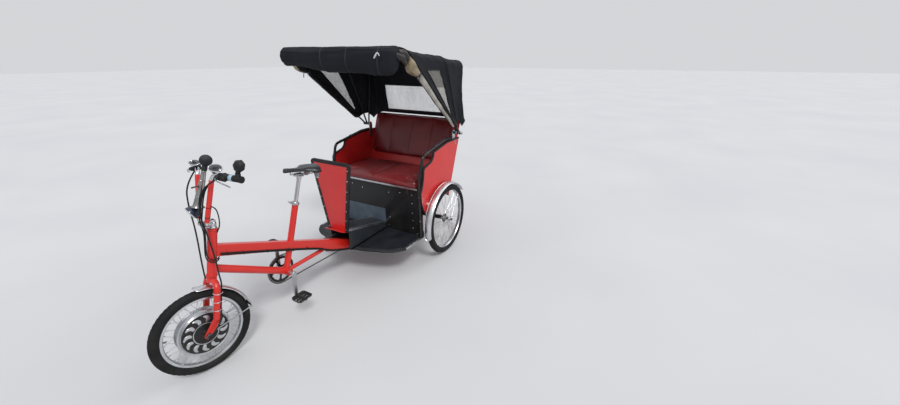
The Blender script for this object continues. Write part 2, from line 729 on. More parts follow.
# Front wheel: rim and spokes laced to the hub motor
front_tyre = Shape().add(tyre_mesh(FRONT_R, FRONT_RIM, 56))
piece("tyre_front", front_tyre, FRONT_WHEEL, [TYRE], "front_hub", "front_tyre", sharp=40)
front_rim = Shape().add(rim_mesh(FRONT_RIM))
wheel_spokes(front_rim, 134, 21, FRONT_RIM, 9, dish=0.3)
valve(front_rim, (194, 188, 175, 173))
piece("wheel_front", front_rim, FRONT_WHEEL, [RIM, ALLOY, RUBBER], "front_hub", "front_wheel")

motor = Shape()
motor.add(lathe([(7.1, -30), (124, -30), (127.5, -26), (127.5, 26), (124, 30), (7.1, 30)], 96), 1)
MOTOR_RINGS = (
    # look, steps round, profile
    (1, 96, [(124, 20), (124, 24), (137.5, 23.6), (138.5, 22), (137.5, 19.5)]),
    (1, 96, [(121.5, 29), (121.5, 37), (123.4, 38.4), (125.6, 36), (127.4, 31.5), (127.4, 29)]),
    (0, 96, [(7.1, 28), (7.1, 43), (34, 43), (40, 40.5), (60, 39), (118, 37.5), (122, 35.5), (122, 28)]),
    (1, 96, [(62, 38), (62, 40.5), (64, 41.5), (66.5, 40.5), (66.5, 38)]),
    (0, 48, [(7.1, 42), (7.1, 48), (20, 48), (23, 45.5), (30, 45), (31, 42)]),
    (0, 48, [(43, 39.5), (43, 42), (46, 42), (46, 39.5)]),
)
FIN = [
    (70, -7), (75, -14), (84, -18.5), (94, -18.5), (103, -13), (109, -4), (112, 6), (111, 15),
    (106, 18), (101, 10), (95, 4), (88, 1.5), (80, 2), (73, 3),
]
for turn in (turned("X", 180), STILL):
    for look, steps, profile in MOTOR_RINGS:
        motor.add(lathe(profile, steps), look, turn)
    for k in range(12):
        motor.add(slab(FIN, 36.5, 40.6, 0.9), 1, turn @ turned("Z", 30 * k))
        motor.add(head(3.4, 2.6, 10), 2, turn @ turned("Z", 30 * k + 14) @ moved(116, 0, 37.2))
    for k in range(6):
        motor.add(head(2.6, 2.2, 10), 2, turn @ turned("Z", 60 * k) @ moved(53, 0, 39.6))
piece("motor", motor, FRONT_WHEEL, [BLACK, RIM, STEEL], "front_hub", "hub_motor", sharp=30)

# Steering: fork, axle, bars, levers, horn, lamp, mirror, front fender and cables

LEG_Y = 74
LEG_Z = 345
AXLE_X = 40
AXLE_Z = 257
fork = Shape()
legs = [(0, -LEG_Y, LEG_Z), (0, -LEG_Y, 562), (0, LEG_Y, 562), (0, LEG_Y, LEG_Z)]
fork.add(pipe(bent(legs, (46, 46), 12), 17, 24), 0)
fork.add(lathe([(8, 548), (23, 548), (25, 552), (26, 570), (25, 580), (8, 580)], 40), 0)
fork.add(lathe([(13.5, 575), (14.3, 575), (14.3, 912), (13.5, 912)], 24), 1)
tilt = math.degrees(math.atan2(AXLE_Z - LEG_Z, AXLE_X))
drop_out = bow_points(17, tilt + 90, tilt + 270, 10, 0, LEG_Z)
drop_out += bow_points(20, tilt - 90, tilt + 90, 10, AXLE_X, AXLE_Z)
for y in (-LEG_Y, LEG_Y):
    fork.add(lathe([(16, 0), (18.4, 0), (19, 2), (18.4, 4), (16, 4)], 24), 0, moved(0, y, 515))
    fork.add(slab(drop_out, -4.5, 4.5, 1.4), 0, moved(0, y, 0) @ SIDE)
    fork.add(slab(circle_points(13, 24, AXLE_X, AXLE_Z), -5.2, 5.2, 0.8), 1, moved(0, y, 0) @ SIDE)
piece("fork_tubes", fork, STEER, [RED, ALLOY], "steering", "fork")

axle = Shape()
rod = [(1, -97), (6.2, -97), (7, -96), (7, 96), (6.2, 97), (1, 97)]
axle.add(lathe(rod, 20, ring=False), 0, moved(AXLE_X, 0, AXLE_Z) @ SIDE)
for hand in (-1, 1):
    out = moved(AXLE_X, hand * 78.6, AXLE_Z) @ turned("X", -90 * hand)
    axle.add(nut(12, 10.5), 0, out)
    axle.add(lathe([(7, 0.2), (16, 0.2), (16.5, 1.4), (16, 2.6), (7, 2.6)], 28), 1, out)
    axle.add(lathe([(6, 12), (10, 11), (10.5, 14), (8, 20), (1, 21.5)], 20, ring=False), 2, out)
piece("front_axle_and_nuts", axle, STEER, [ALLOY, STEEL, MATT], "steering", "front_axle")

# Stem and handlebar
CLAMP_AT = (45, 0, 895)
LEFT_BAR = [Vector((45, 48, 895)), Vector((40, 100, 1188)), Vector((-24, 291, 1187))]
RIGHT_BAR = [Vector((x, -y, z)) for x, y, z in LEFT_BAR]
stem = Shape()
cup = [(14.4, 868.6), (22, 868.6), (23, 871), (23, 876), (20, 879), (19, 901), (15, 906), (14.4, 906)]
stem.add(lathe(cup, 36))
stem.add(lathe([(14.4, 902), (15, 902), (15, 915), (12, 917), (1, 917)], 32, ring=False))
stem.add(pipe([(4, 0, 893), (24, 0, 894.5), CLAMP_AT], [15, 13.5, 13.5], 24))
clamp = [(11.2, -26), (16.6, -26), (17.4, -25), (17.4, 25), (16.6, 26), (11.2, 26)]
stem.add(lathe(clamp, 32), 0, moved(*CLAMP_AT) @ SIDE)
stem.add(nut(7, 5), 1, moved(0, 0, 917))
for y in (-16, 16):
    stem.add(head(4.2, 4), 1, moved(60, y, 903) @ turned("Y", 60))
piece("stem_and_clamp", stem, STEER, [CHROME, STEEL], "steering", "stem")
bar = Shape().add(pipe(bent(RIGHT_BAR[::-1] + LEFT_BAR, (42, 24, 24, 42), 12), 11, 24))
piece("handlebar_tube", bar, STEER, [CHROME], "steering", "handlebar")


def beside(place, along, steps):
    """Points by a bar, each given by how far along it, forward of it and above it."""
    return [place + along * far + Vector((x, 0, z)) for far, x, z in steps]


DIALS = {
    # hand: distance along the bar, height, way it faces, roll
    1: (42, 38, (0.62, 0.5, 0.6), 90),
    -1: (16, 33, (0.5, 0.25, 0.83), 78),
}
LEVER_BODY = [6, 7, 8, 9, 10, 11, 12, 12.5, 13, 13, 12.5, 12, 11, 10.5, 10, 9, 8, 7, 6]
sleeves = Shape()
grips = Shape()
controls = Shape()
for hand, (low, inner, end) in ((-1, RIGHT_BAR), (1, LEFT_BAR)):
    way = (inner - low).normalized()
    a, b = low + way * 22, inner - way * 32
    sleeves.add(pipe([a, a + way * 1.5, b - way * 1.5, b], [11.6, 12.8, 12.8, 11.6], 28), 0)
    for share in (0.12, 0.36):
        ring = a.lerp(b, share)
        sleeves.add(pipe([ring - way * 2, ring + way * 2], 13.4, 24), 1)
    along = (end - inner).normalized()
    start = end - along * 117
    ribs = [start - along * 0.5]
    sizes = [17]
    for k in range(59):
        ribs.append(start + along * (2 * k))
        sizes.append(20.5 if k in (0, 1) else (17.4 if k % 3 else 15.9) if k < 55 else 18.6)
    grips.add(pipe(ribs + [ribs[-1] + along * 2], sizes + [12], 24), 0)
    # Light band on the grip, and the lever inboard of it
    grips.add(pipe([start + along * far for far in (40, 41, 62, 63)], [17.6, 18.4, 18.4, 17.6], 24), 1)
    at = start - along * 22
    controls.add(pipe([at + along * far for far in (-11, -10, 10, 11)], [15, 16.6, 16.6, 15], 24), 0)
    body = at + Vector((8, 0, -4))
    lever = curve_through(beside(body, along, [(-16, 0, 0), (-4, 10, -2), (14, 22, -5), (24, 28, -8)]), 6)
    controls.add(pipe(lever, LEVER_BODY, 14), 0)
    blade = beside(body, along, [(16, 30, -8), (40, 38, -18), (85, 32, -30), (122, 38, -34)])
    blade = curve_through(blade, 8)
    sizes = [5.6 + 1.2 * k / len(blade) for k in range(len(blade) - 1)] + [7.6]
    controls.add(pipe(blade, sizes, 12, wide=0.55), 1)
    adjuster = beside(body, along, [(-16, 2, 0), (-27, -1, 0), (-31, -2, 0)])
    controls.add(pipe(adjuster, [4.5, 4.5, 3.6], 12), 1)
    # Oval dial with a chrome bezel by each riser's top
    far, up, look, roll = DIALS[hand]
    face = facing(inner + along * far + Vector((14, 0, up)), Vector(look).normalized()) @ turned("Z", roll)
    oval = around(36, lambda a: (22 * cos(a), 34 * sin(a)))
    controls.add(slab([(x * 0.95, y * 0.95) for x, y in oval], -11, 1, 3), 0, face)
    controls.add(pipe([(x, y, 1) for x, y in oval], 3.2, 10, loop=True), 2, face)
    controls.add(slab([(x * 0.82, y * 0.82) for x, y in oval], 0.5, 2, 0.5), 3, face)
    controls.add(slab(rounded(14, 26, 3), 1.8, 3.4, 0.8), 0, face)
    controls.add(pipe(beside(inner, along, [(16, 3, 8), (16, 9, 24)]), 7, 12), 0)
    # Gear housing between the lever and the grip
    housing = beside(start, along, [(far, 6, -10) for far in (-30, -26, 14, 20)])
    controls.add(pipe(housing, [9, 15, 16, 10], 18), 0)
piece("riser_sleeves", sleeves, STEER, [RED, BEAD], "steering", "risers")
piece("grip_rubber", grips, STEER, [RUBBER, BAND], "steering", "grips", sharp=50)
looks = [MATT, ALLOY, CHROME, SCREEN]
piece("bar_controls", controls, STEER, looks, "steering", "brake_levers", sharp=50)


def hoop(radius, z, thick, sides):
    return pipe(around(40, lambda a: (radius * cos(a), radius * sin(a), z)), thick, sides, loop=True)


# Bulb horn between the risers, its bell down, held by a strap to the near riser
horn_low, horn_high = Vector((73, 2, 991)), Vector((33, 0, 1257))
HORN = facing(horn_low, horn_high - horn_low)
horn = Shape()
inside = [(2, 25), (10, 22), (24, 19.8), (60, 17.4), (110, 15), (150, 12.6), (204, 8.6)]
outside = [(0, 28), (2, 26.8), (10, 24), (24, 21.8), (60, 19.4)]
outside += [(110, 17), (150, 15), (180, 13), (196, 11.4), (204, 11)]
horn.add(lathe([(r, z) for z, r in outside + inside[::-1]], 40), 0)
horn.add(hoop(28, 0.6, 1.7, 8), 0)
for z, r in ((60, 19.4), (146, 15.2), (194, 11.5)):
    horn.add(lathe([(r - 2, z), (r + 0.8, z), (r + 1.6, z + 2), (r + 0.8, z + 4), (r - 2, z + 4)], 32), 0)
bulb = [(6, 204), (11.6, 204), (13.5, 203), (14, 212), (13, 224)]
bulb += [(31.5 * cos(t), 260 + 32 * sin(t)) for t in (-1.15 + 2.6 * k / 14 for k in range(15))]
horn.add(lathe(bulb + [(3.5, 292)], 36, ring=False), 1)
horn.add(pipe([(0, 14, 120), (-10, 34, 112), (-22, 52, 108)], [4, 4, 4.5], 10), 2)
looks = [HORN_METAL, BULB, STEEL]
piece("bulb_horn", horn, STEER @ HORN, looks, "steering", "horn", sharp=50)

# Headlamp: shell, rim, lens and bracket
LAMP_WAY = Vector((0.734, -0.079, -0.674)).normalized()
LAMP = facing(Vector((90, -41, 950)) - LAMP_WAY * 57, LAMP_WAY) @ Matrix.Scale(1.14, 4)
lamp = Shape()
shell = [(1, -8), (8, -7), (14, 0), (24, 18), (31, 34), (33.5, 44), (33.5, 50), (31, 50)]
lamp.add(lathe(shell, 40, ring=False), 0)
lamp.add(hoop(32.6, 50, 1.5, 10), 1)
lamp.add(lathe([(31, 48), (29, 52), (20, 55), (8, 56.5), (1, 57)], 40, ring=False), 2)
for k in range(3):
    rib = [(r + 6 * k, z + 12 * k) for r, z in ((14, 4), (16.6, 4), (16.6, 6), (14, 7))]
    lamp.add(lathe(rib, 36), 0)
lamp.add(pipe([(0, 0, -3), (-8, -8, -6), (-14, -20, -8)], [5, 4.5, 4.5], 10, wide=1.6), 3)
looks = [LAMP_SHELL, CHROME, GLASS, STEEL]
piece("head_lamp", lamp, STEER @ LAMP, looks, "steering", "headlamp", sharp=50)

# Mirror at the left bar end: clamp, jointed stalk, shell and glass
mirror = Shape()
FOOT = moved(-16, 268, 1188)
mirror.add(pipe([(0, 0, 12), (1, 1, 17), (1, 2, 25)], [11, 12, 8], 18), 0, FOOT)
stalk = curve_through([(0, -2, 8), (1, -4, 26), (3, 2, 40), (4, 10, 52)], 6)
mirror.add(pipe(stalk, [14] * 4 + [13] * 4 + [11.5] * 6 + [10] * 5, 16), 0, FOOT)
mirror.add(ball(10, 16, 10), 0, moved(-12, 279, 1228))
SHELL = moved(-10, 282, 1257) @ turned("Z", 26) @ turned("Y", 84)
shell = [(3, 17), (15, 16), (24, 12), (30, 6), (33, -2), (33, -8), (30, -10), (3, -10)]
mirror.add(lathe(shell, 7, ring=False), 0, SHELL @ turned("Z", 12))
glass = [(3, -10), (29, -10), (29.6, -11), (29, -12), (3, -12)]
mirror.add(lathe(glass, 40, ring=False), 1, SHELL @ Matrix.Diagonal((1.0, 0.93, 1, 1)))
piece("bar_mirror", mirror, STEER, [MATT, MIRROR], "steering", "mirror", sharp=40)

# Front fender with its stays and rubber tip
fender = Shape()
fender.add(fender_mesh(275, 31, 78, 158, steps=60), 0)
fender.add(fender_mesh(274, 32.5, 155, 164, steps=12), 1)
tip_angle = radians(161)
for hand in (-1, 1):
    foot = Vector((0, 0, hand * 66.5))
    end = Vector((266 * cos(tip_angle), 266 * sin(tip_angle), hand * 32))
    over = STILL if hand > 0 else turned("X", 180)
    fender.add(pipe([foot, foot.lerp(end, 0.08), end.lerp(foot, 0.04), end], 4, 10, wide=0.8), 2)
    fender.add(head(6, 4), 2, moved(end.x, end.y, end.z + hand) @ over)
    fender.add(lathe([(7.3, 64), (13, 64), (13.6, 66.5), (13, 69.4), (7.3, 69.4)], 24), 2, over)
for angle in (92, 104, 157):
    fender.add(head(4, 2.6), 2, turned("Z", angle) @ moved(276.5, 0, 0) @ turned("Y", 90))
fender.add(slab([(262, -12), (275, -12), (275, 12), (262, 12)], -9, 9, 2), 2, turned("Z", 101))
looks = [FENDER, RUBBER, ALLOY]
piece("front_fender_strip", fender, FRONT_WHEEL, looks, "steering", "front_fender", sharp=50)


def cable(name, points, radius, instead="", place=STEER, body="steering"):
    """A cable as a curve with the route's points."""
    curve = bpy.data.curves.new(name, "CURVE")
    curve.dimensions = "3D"
    curve.bevel_depth = radius / 1000
    curve.bevel_resolution = 3
    curve.resolution_u = 10
    curve.use_fill_caps = True
    spline = curve.splines.new("NURBS")
    spline.points.add(len(points) - 1)
    for point, p in zip(spline.points, points):
        point.co = (*(MM @ place @ Vector(p)), 1)
    spline.order_u = 3
    spline.use_endpoint_u = True
    curve.materials.append(RUBBER)
    obj = add_object(name, curve)
    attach(obj, body)
    if instead:
        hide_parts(instead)


MOTOR_ROUTE = [
    (37, 150, 1168), (95, 95, 1120), (80, 50, 960), (46, 50, 860), (2, 54, 700), (-10, 70, 610),
    (-22.3, 75, 560), (-21.3, 74, 500), (-21.3, 74, 385), (-22.3, 98, 335), (40, 99, 257),
]
BRAKE_ROUTE = [
    (37, -150, 1168), (95, -100, 1100), (84, -92, 980), (68, -38, 860), (42, -16, 640), (31.3, -2, 572),
]
LEVER_TOP = [(30, 118, 1172), (54, 66, 1120), (60, 40, 1050), (62, 36, 970), (64, 32, 915)]
LEVER_END = [
    (46, 26, 868), (38, 18, 800), (36, 16, 736), (29, 26, 700), (6, 37, 690), (-20, 30, 692), (-32, 12, 697),
]
THROTTLE_TOP = [(28, 124, 1172), (62, 60, 1110), (68, 36, 1040), (70, 30, 960), (72, 24, 920)]
THROTTLE_TOP += [(x * 1.02 + 2, y - 9, z - 6) for x, y, z in LEVER_END[:3]]
THROTTLE_END = [(33, 16, 690), (12, 36, 676), (-18, 34, 678), (-34, 8, 686)]
LOOP_ROUTE = [
    (40, 80, 1012), (26, 76, 1008), (2, 64, 985), (-12, 60, 930), (-20, 44, 885), (-18, 20, 850),
    (-22, 6, 838),
]
cable("motor_cable", MOTOR_ROUTE, 4, "bar_cables")
cable("brake_cable", BRAKE_ROUTE, 4, "bar_cables")
cable("lever_cable", LEVER_TOP + LEVER_END, 3.4)
cable("throttle_cable", THROTTLE_TOP + THROTTLE_END, 3.4)
cable("loop_cable", LOOP_ROUTE, 3.2)

# Ties that hold the motor's cable to the left leg
ties = Shape()
for z in (400, 450, 500):
    ring = [(19.2 * cos(t), LEG_Y + 19.2 * sin(t)) for t in (-0.6 * pi + 3.77 * k / 20 for k in range(21))]
    ring += [(-25 + 3 * cos(t), LEG_Y + 6 * sin(t)) for t in (pi / 2 + pi * k / 8 for k in range(9))]
    ties.add(pipe([(x, y, z + 2) for x, y in ring], 1.5, 6, loop=True, wide=1.7), 0)
    ties.add(slab(rounded(6, 5, 1, x=3, y=94.5), z - 1, z + 5, 0.6), 0)
piece("cable_ties", ties, STEER, [TIE], "steering")

# Drive and seat: saddle, seat post, crankset, pedals, chains and frame cables

SADDLE_AT = moved(940, 0, 975) @ turned("Y", -8)


def saddle_half(x):
    """Half width of the saddle along its length."""
    if x < 72:
        return 105 * sin(pi / 2 * min(1.0, (x + 3) / 75)) ** 0.6
    if x < 150:
        t = (x - 72) / 78
        return 105 - 60 * (t * t * (3 - 2 * t)) ** 0.85
    if x < 257:
        return 45 - 25 * ((x - 150) / 107) ** 0.7
    return 20 * math.sqrt(max(0.02, 1 - ((x - 257) / 18) ** 2))


def saddle_skirt(x):
    return 4 + 12 * min(1.0, x / 200)


saddle = Shape()
rows, sides = 56, 40
skin = []
for i in range(rows):
    x = 275 * (i + 0.2) / (rows - 0.4)
    half = saddle_half(x)
    rear = max(0.0, 1 - x / 140)
    skirt = saddle_skirt(x)
    top = 35 + 11 * rear + 4 * near_line(x, 258, 30) - 3 * near_line(x, 165, 50)
    for side, lift in circle_points(1, sides):
        y = half * math.copysign(abs(side) ** 0.72, side)
        z = skirt + (top - skirt) * abs(lift) ** 0.8 if lift > 0 else skirt + 7 * lift
        groove = 3.5 * near_line(y, 0, 9) * near_line(x, 120, 90) if lift > 0 else 0
        skin.append((x, y, z - groove))
saddle.add((skin, grid_faces(rows, sides, loop=True, ends=True)), 0)
rim = [(x, saddle_half(x), saddle_skirt(x)) for x in (4 + 267 * k / 40 for k in range(41))]
rim += [(x, -y, z) for x, y, z in reversed(rim)]
saddle.add(pipe(rim, 2.6, 8, loop=True), 1)
for hand in (-1, 1):
    rail = [(45, hand * 18, 2), (45, hand * 18, -14), (215, hand * 18, -14), (215, hand * 9, 2)]
    saddle.add(pipe(bent(rail, (8, 8), 6), 3.5, 12), 2)
    turns = bow_points(13, 0, 6 * 360, 96, 46, hand * 58)
    saddle.add(pipe([(x, y, -38 + 34 * k / 96) for k, (x, y) in enumerate(turns)], 2.4, 8), 2)
    saddle.add(pipe([(45, hand * 20, -14), (44, hand * 40, -30), (46, hand * 58, -39)], 3, 10), 2)
    cup = [(1, -41), (16, -41), (16.6, -39.5), (16, -38), (1, -38)]
    saddle.add(lathe(cup, 24, ring=False), 2, moved(46, hand * 58, 0))
looks = [SADDLE, RUBBER, ALLOY]
saddle_obj = piece("saddle_cover", saddle, SADDLE_AT, looks, "chassis", "saddle", sharp=55)

# Seat post with its saddle clamp, and its quick release at the seat tube
post = Shape()
top, base = Vector((1100, 0, 962)), Vector((1161, 0, 796))
lean = (top - base).normalized()
post.add(pipe([base - lean * 20, top + lean * 2], 13.5, 32), 0)
post.add(pipe([top - lean * 14, top + lean * 6], 16, 28), 0)
plate = SADDLE_AT @ moved(160, 0, -14)
post.add(slab(rounded(54, 54, 6), -12, -4.2, 1.5), 1, plate)
post.add(slab(rounded(44, 50, 5), 4.2, 9, 1.5), 1, plate)
post.add(pipe([top, plate @ Vector((0, 0, -8))], 12, 24), 1)
for x in (-16, 16):
    post.add(pipe([(x, 0, -16), (x, 0, 14)], 3, 12), 1, plate)
    post.add(nut(6, 5), 1, plate @ moved(x, 0, 9))
CLAMP = facing(base - lean * 14, lean)
post.add(lathe([(21.3, 0), (24, 0), (25, 1.5), (25, 18), (24, 19.5), (21.3, 19.5)], 36), 1, CLAMP)
post.add(slab(rounded(22, 13, 3, x=28), 3, 17, 1.2), 1, CLAMP)
post.add(pipe([(33, -17, 10), (33, 17, 10)], 3, 12), 1, CLAMP)
lever = curve_through([(33, 17, 10), (39, 22, 10), (30, 27, 8), (8, 30, 4), (-22, 27, 0)], 6)
post.add(pipe(lever, 3.6, 10, wide=1.8), 1, CLAMP)
piece("seat_post_and_clamp", post, STILL, [CHROME, ALLOY], "chassis", "seat_post", sharp=50)

# Crankset: chainring with teeth and round holes, spider, arms and pedal spindles
BB = Vector((1330, 0, 337))
DOWN = Vector((sin(radians(5)), 0, -cos(radians(5))))
ARM = 168
crank = Shape()
TEETH = 48
RING_INSIDE = 79
ring_at = moved(BB.x, -50, BB.z) @ SIDE
verts = []
for k in range(4 * TEETH):
    a = 2 * pi * (k + 0.5) / (4 * TEETH)
    r = 100.5 if k % 4 in (1, 2) else 95.5
    for radius, z in ((RING_INSIDE, -2), (r, -1.4), (r, 1.4), (RING_INSIDE, 2)):
        verts.append((radius * cos(a), radius * sin(a), z))
crank.add((verts, grid_faces(4 * TEETH, 4, loop=True, closed=True)), 0, ring_at)
arm = [(58 + 30.5 * t, (7.5 + 13.5 * t * t) * (0.86 + 0.14 * t)) for t in (-1 + j / 4 for j in range(9))]
arm += [(r, -half) for r, half in reversed(arm)]
for k in range(5):
    crank.add(slab(arm, -1.9, 1.9, 0.6), 0, ring_at @ turned("Z", 72 * k))
    crank.add(head(4, 2.5), 1, ring_at @ turned("Z", 72 * k) @ moved(80, 0, 1.8))
crank.add(lathe([(16, -3), (31, -3), (32, 0), (31, 3), (16, 3)], 40), 0, ring_at)
boss = lathe([(10.7, 0), (22, 0), (19, 24), (10.7, 24)], 32)
crank.add(boss, 1, moved(BB.x, -53, BB.z) @ SIDE)
spindle = [(1, -79), (10, -79), (10.6, -78), (10.6, 78), (10, 79), (1, 79)]
crank.add(lathe(spindle, 24, ring=False), 1, moved(*BB) @ SIDE)
for hand in (-1, 1):
    tip = BB + DOWN * (ARM * hand)
    out = turned("X", -90 * hand)
    tilt = math.degrees(math.atan2(DOWN.z * hand, DOWN.x * hand))
    arm_line = bow_points(17, tilt + 90, tilt + 270, 12, BB.x, BB.z)
    arm_line += bow_points(11.5, tilt - 90, tilt + 90, 12, tip.x, tip.z)
    crank.add(slab(arm_line, -6, 6, 2.5), 1, moved(0, hand * 80, 0) @ SIDE)
    cap = lathe([(1, 0), (11, 0), (12, 2), (11, 4), (1, 4)], 24, ring=False)
    crank.add(cap, 1, moved(BB.x, hand * 85, BB.z) @ out)
    crank.add(pipe([(tip.x, hand * 78, tip.z), (tip.x, hand * 183, tip.z)], 7.4, 16), 1)
    crank.add(nut(9, 4), 2, moved(tip.x, hand * 87, tip.z) @ out)
piece("crank_and_ring", crank, STILL, [BLACK, ALLOY, MATT], "crank", "crankset", sharp=40)

# Pedals: caged platforms with reflectors
for side, hand in (("left", 1), ("right", -1)):
    tip = BB + DOWN * (ARM * hand)
    at = moved(tip.x, 138 * hand, tip.z)
    pedal = Shape()
    pedal.add(pipe([(0, -45, 0), (0, -43, 0), (0, 43, 0), (0, 45, 0)], [9.5, 11, 11, 9.5], 20), 0, at)
    pedal.add(pipe([(x, y, 0) for x, y in rounded(100, 90, 13, 4)], 11, 4, loop=True, wide=0.22), 0, at)
    for y in (-27, 0, 27):
        pedal.add(slab(rounded(92, 6, 1.5, y=y), -9, 9, 1.2), 0, at)
    for x in (-51.5, 51.5):
        pedal.add(slab(rounded(3, 58, 1), -6.5, 6.5, 0.8), 1, at @ moved(x, 0, 0))
    for x in (-30, -15, 15, 30):
        for y in (-36, 36):
            pedal.add(ball(2.2, 8, 5), 0, at @ moved(x, y, 9))
    nodes = f"pedal_{side}"
    piece(f"pedal_cage_{side}", pedal, STILL, [MATT, STEEL], f"{side}_pedal", nodes, sharp=45)


CHAIN_PITCH = 12.7


def chain_path(first, second):
    """A closed line round two circles, each given as x, z and radius."""
    along = Vector(second[:2]) - Vector(first[:2])
    lift = math.degrees(math.asin((first[2] - second[2]) / along.length))
    start = math.degrees(math.atan2(along.y, along.x))
    line = bow_points(first[2], start + 90 - lift, start + 270 + lift, 24, *first[:2])
    line += bow_points(second[2], start - 90 + lift, start + 90 - lift, 24, *second[:2])
    return [Vector(p) for p in line]


def chain_links(shape, y, line):
    """Roller chain along a closed line: rollers with plates on both sides, every other pair wider."""
    line = line + [line[0]]
    runs = [(b - a).length for a, b in zip(line, line[1:])]
    count = 2 * round(sum(runs) / CHAIN_PITCH / 2)
    pins, travelled, index = [], 0.0, 0
    for k in range(count):
        target = sum(runs) * k / count
        while travelled + runs[index] < target:
            travelled += runs[index]
            index += 1
        pins.append(line[index].lerp(line[index + 1], (target - travelled) / runs[index]))
    for k, p in enumerate(pins):
        n = pins[(k + 1) % count]
        away = (n - p).normalized()
        flat = Vector((-away.y, away.x))
        plate = []
        for centre, turn in ((p, pi), (n, 0)):
            base = math.atan2(away.y, away.x) + turn
            plate += [centre + Vector((cos(base + t), sin(base + t))) * 4.1 for t in (-1.1, -0.4, 0.4, 1.1)]
        middle = p.lerp(n, 0.5)
        outline = plate[:4] + [middle - flat * 2.9] + plate[4:] + [middle + flat * 2.9]
        outer = 3.1 if k % 2 else 1.9
        for hand in (-1, 1):
            low, high = sorted((hand * outer, hand * (outer + 1.0)))
            shape.add(slab([(q.x, q.y) for q in outline], low, high), 0, moved(0, y, 0) @ SIDE)
        shape.add(lathe([(3.8, -1.8), (3.8, 1.8), (1, 1.8), (1, -1.8)], 8), 1, moved(p.x, y, p.y) @ SIDE)


chain = Shape()
chain_links(chain, -50, chain_path((1330, 337, 104.5), (160, 240, 49.5)))
chain_links(chain, 40, chain_path((160, 240, 34.5), (0, 327.5, 34.5)))
piece("roller_chains", chain, STILL, [STEEL, ALLOY], "chassis", "chains", sharp=30)

# Cables along the main tube's lower edge, with their ties
MAIN_LOW = ((649.5, 12), (729.5, 36), (970, 36), (1060, 0), (1725, 0))


def main_low(x, drop):
    """The cables' height below the main tube's middle line."""
    return 720 - (STEER_X - 720 * math.tan(LEAN) - x) * 0.43 - 33.7 - drop


for name, lift in (("frame_cable_low", 4), ("frame_cable_high", 13)):
    route = [(x, 29.3, main_low(x, drop) + lift) for x, drop in MAIN_LOW]
    cable(name, route, 4, "frame_cables", STILL, "chassis")
bands = Shape()
for x in (700, 850, 985, 1150, 1300, 1450, 1600, 1690):
    drop = 36 if x < 975 else max(0.0, 36 - 36 * (x - 970) / 90)
    z = main_low(x, drop) + 8
    ring = around(20, lambda a: (x, 27 + 8.5 * cos(a), z + 11.5 * sin(a)))
    bands.add(pipe(ring, 1.3, 6, loop=True, wide=1.8), 0)
piece("cable_bands", bands, STILL, [MATT], "chassis")
# Cabin: floor, tunnel, dash, seat, panels and fenders


def channel(width, wall, reach):
    """The section of a folded trim that grips an edge: x inward over the board, y across its thickness."""
    half = width / 2
    over = [(0, half), (reach, half), (reach + wall / 2, half + wall / 2)]
    over += [(reach, half + wall), (-wall, half + wall)]
    return over + [(-wall * 1.6, half), (-wall * 1.6, -half)] + [(x, -y) for x, y in reversed(over)]


def outward(points, hand):
    """A section mirrored for the left or the right side."""
    return [(x * -hand, y) for x, y in points]


def flat_path(points, z=0):
    return [(x, y, z) for x, y in points]


# Floor: a board with a ribbed mat, a rubber bead round its front and a metal edge on its straight sides
PAN_CORNER = arc((566, 486), (655, 410), (702, 300), 10)
PAN_FRONT = arc((702, 300), (752, 155), (770, 0), 8)
floor_trim = Shape()
for hand in (-1, 1):
    front = [(x, y * hand, 256) for x, y in PAN_CORNER + PAN_FRONT[1:] if y > 46]
    half_round = [(7 * sin(a), 7.4 * cos(a)) for a in (pi * k / 10 for k in range(11))]
    floor_trim.add(sweep(front, outward(half_round, hand)), 0)
    straight = [(x, y * hand, 262.2) for x, y in ((330, 490), (342, 490), (450, 488), (566, 486))]
    angle = [(-16, 0), (0.6, 0), (0.6, -14), (2.2, -14), (2.2, 1), (1.6, 1.7), (-16, 1.7)]
    floor_trim.add(sweep(straight, outward(angle, hand)), 1)
    for k in range(5):
        floor_trim.add(head(3.2, 1.6), 2, moved(352 + 48 * k, hand * (479.5 - 0.5 * k), 263.8))
piece("floor_edges", floor_trim, STILL, [BEAD, ALLOY, WHITE_RIVET], "chassis")
mat = Shape()
outline = [(330, 104), (330, 466), (566, 462)] + [(x - 22, y - 18) for x, y in PAN_CORNER[2:]]
outline += [(x - 24, y - 8) for x, y in PAN_FRONT[1:4]] + [(735, 104)]
for hand in (-1, 1):
    mat.add(slab([(x, y * hand) for x, y in outline], 262.3, 265.2, 0.9))
piece("floor_mat", mat, STILL, [FLOOR_DARK], "chassis")


def tunnel_z(x):
    return 448 - (800 - x) * 0.25


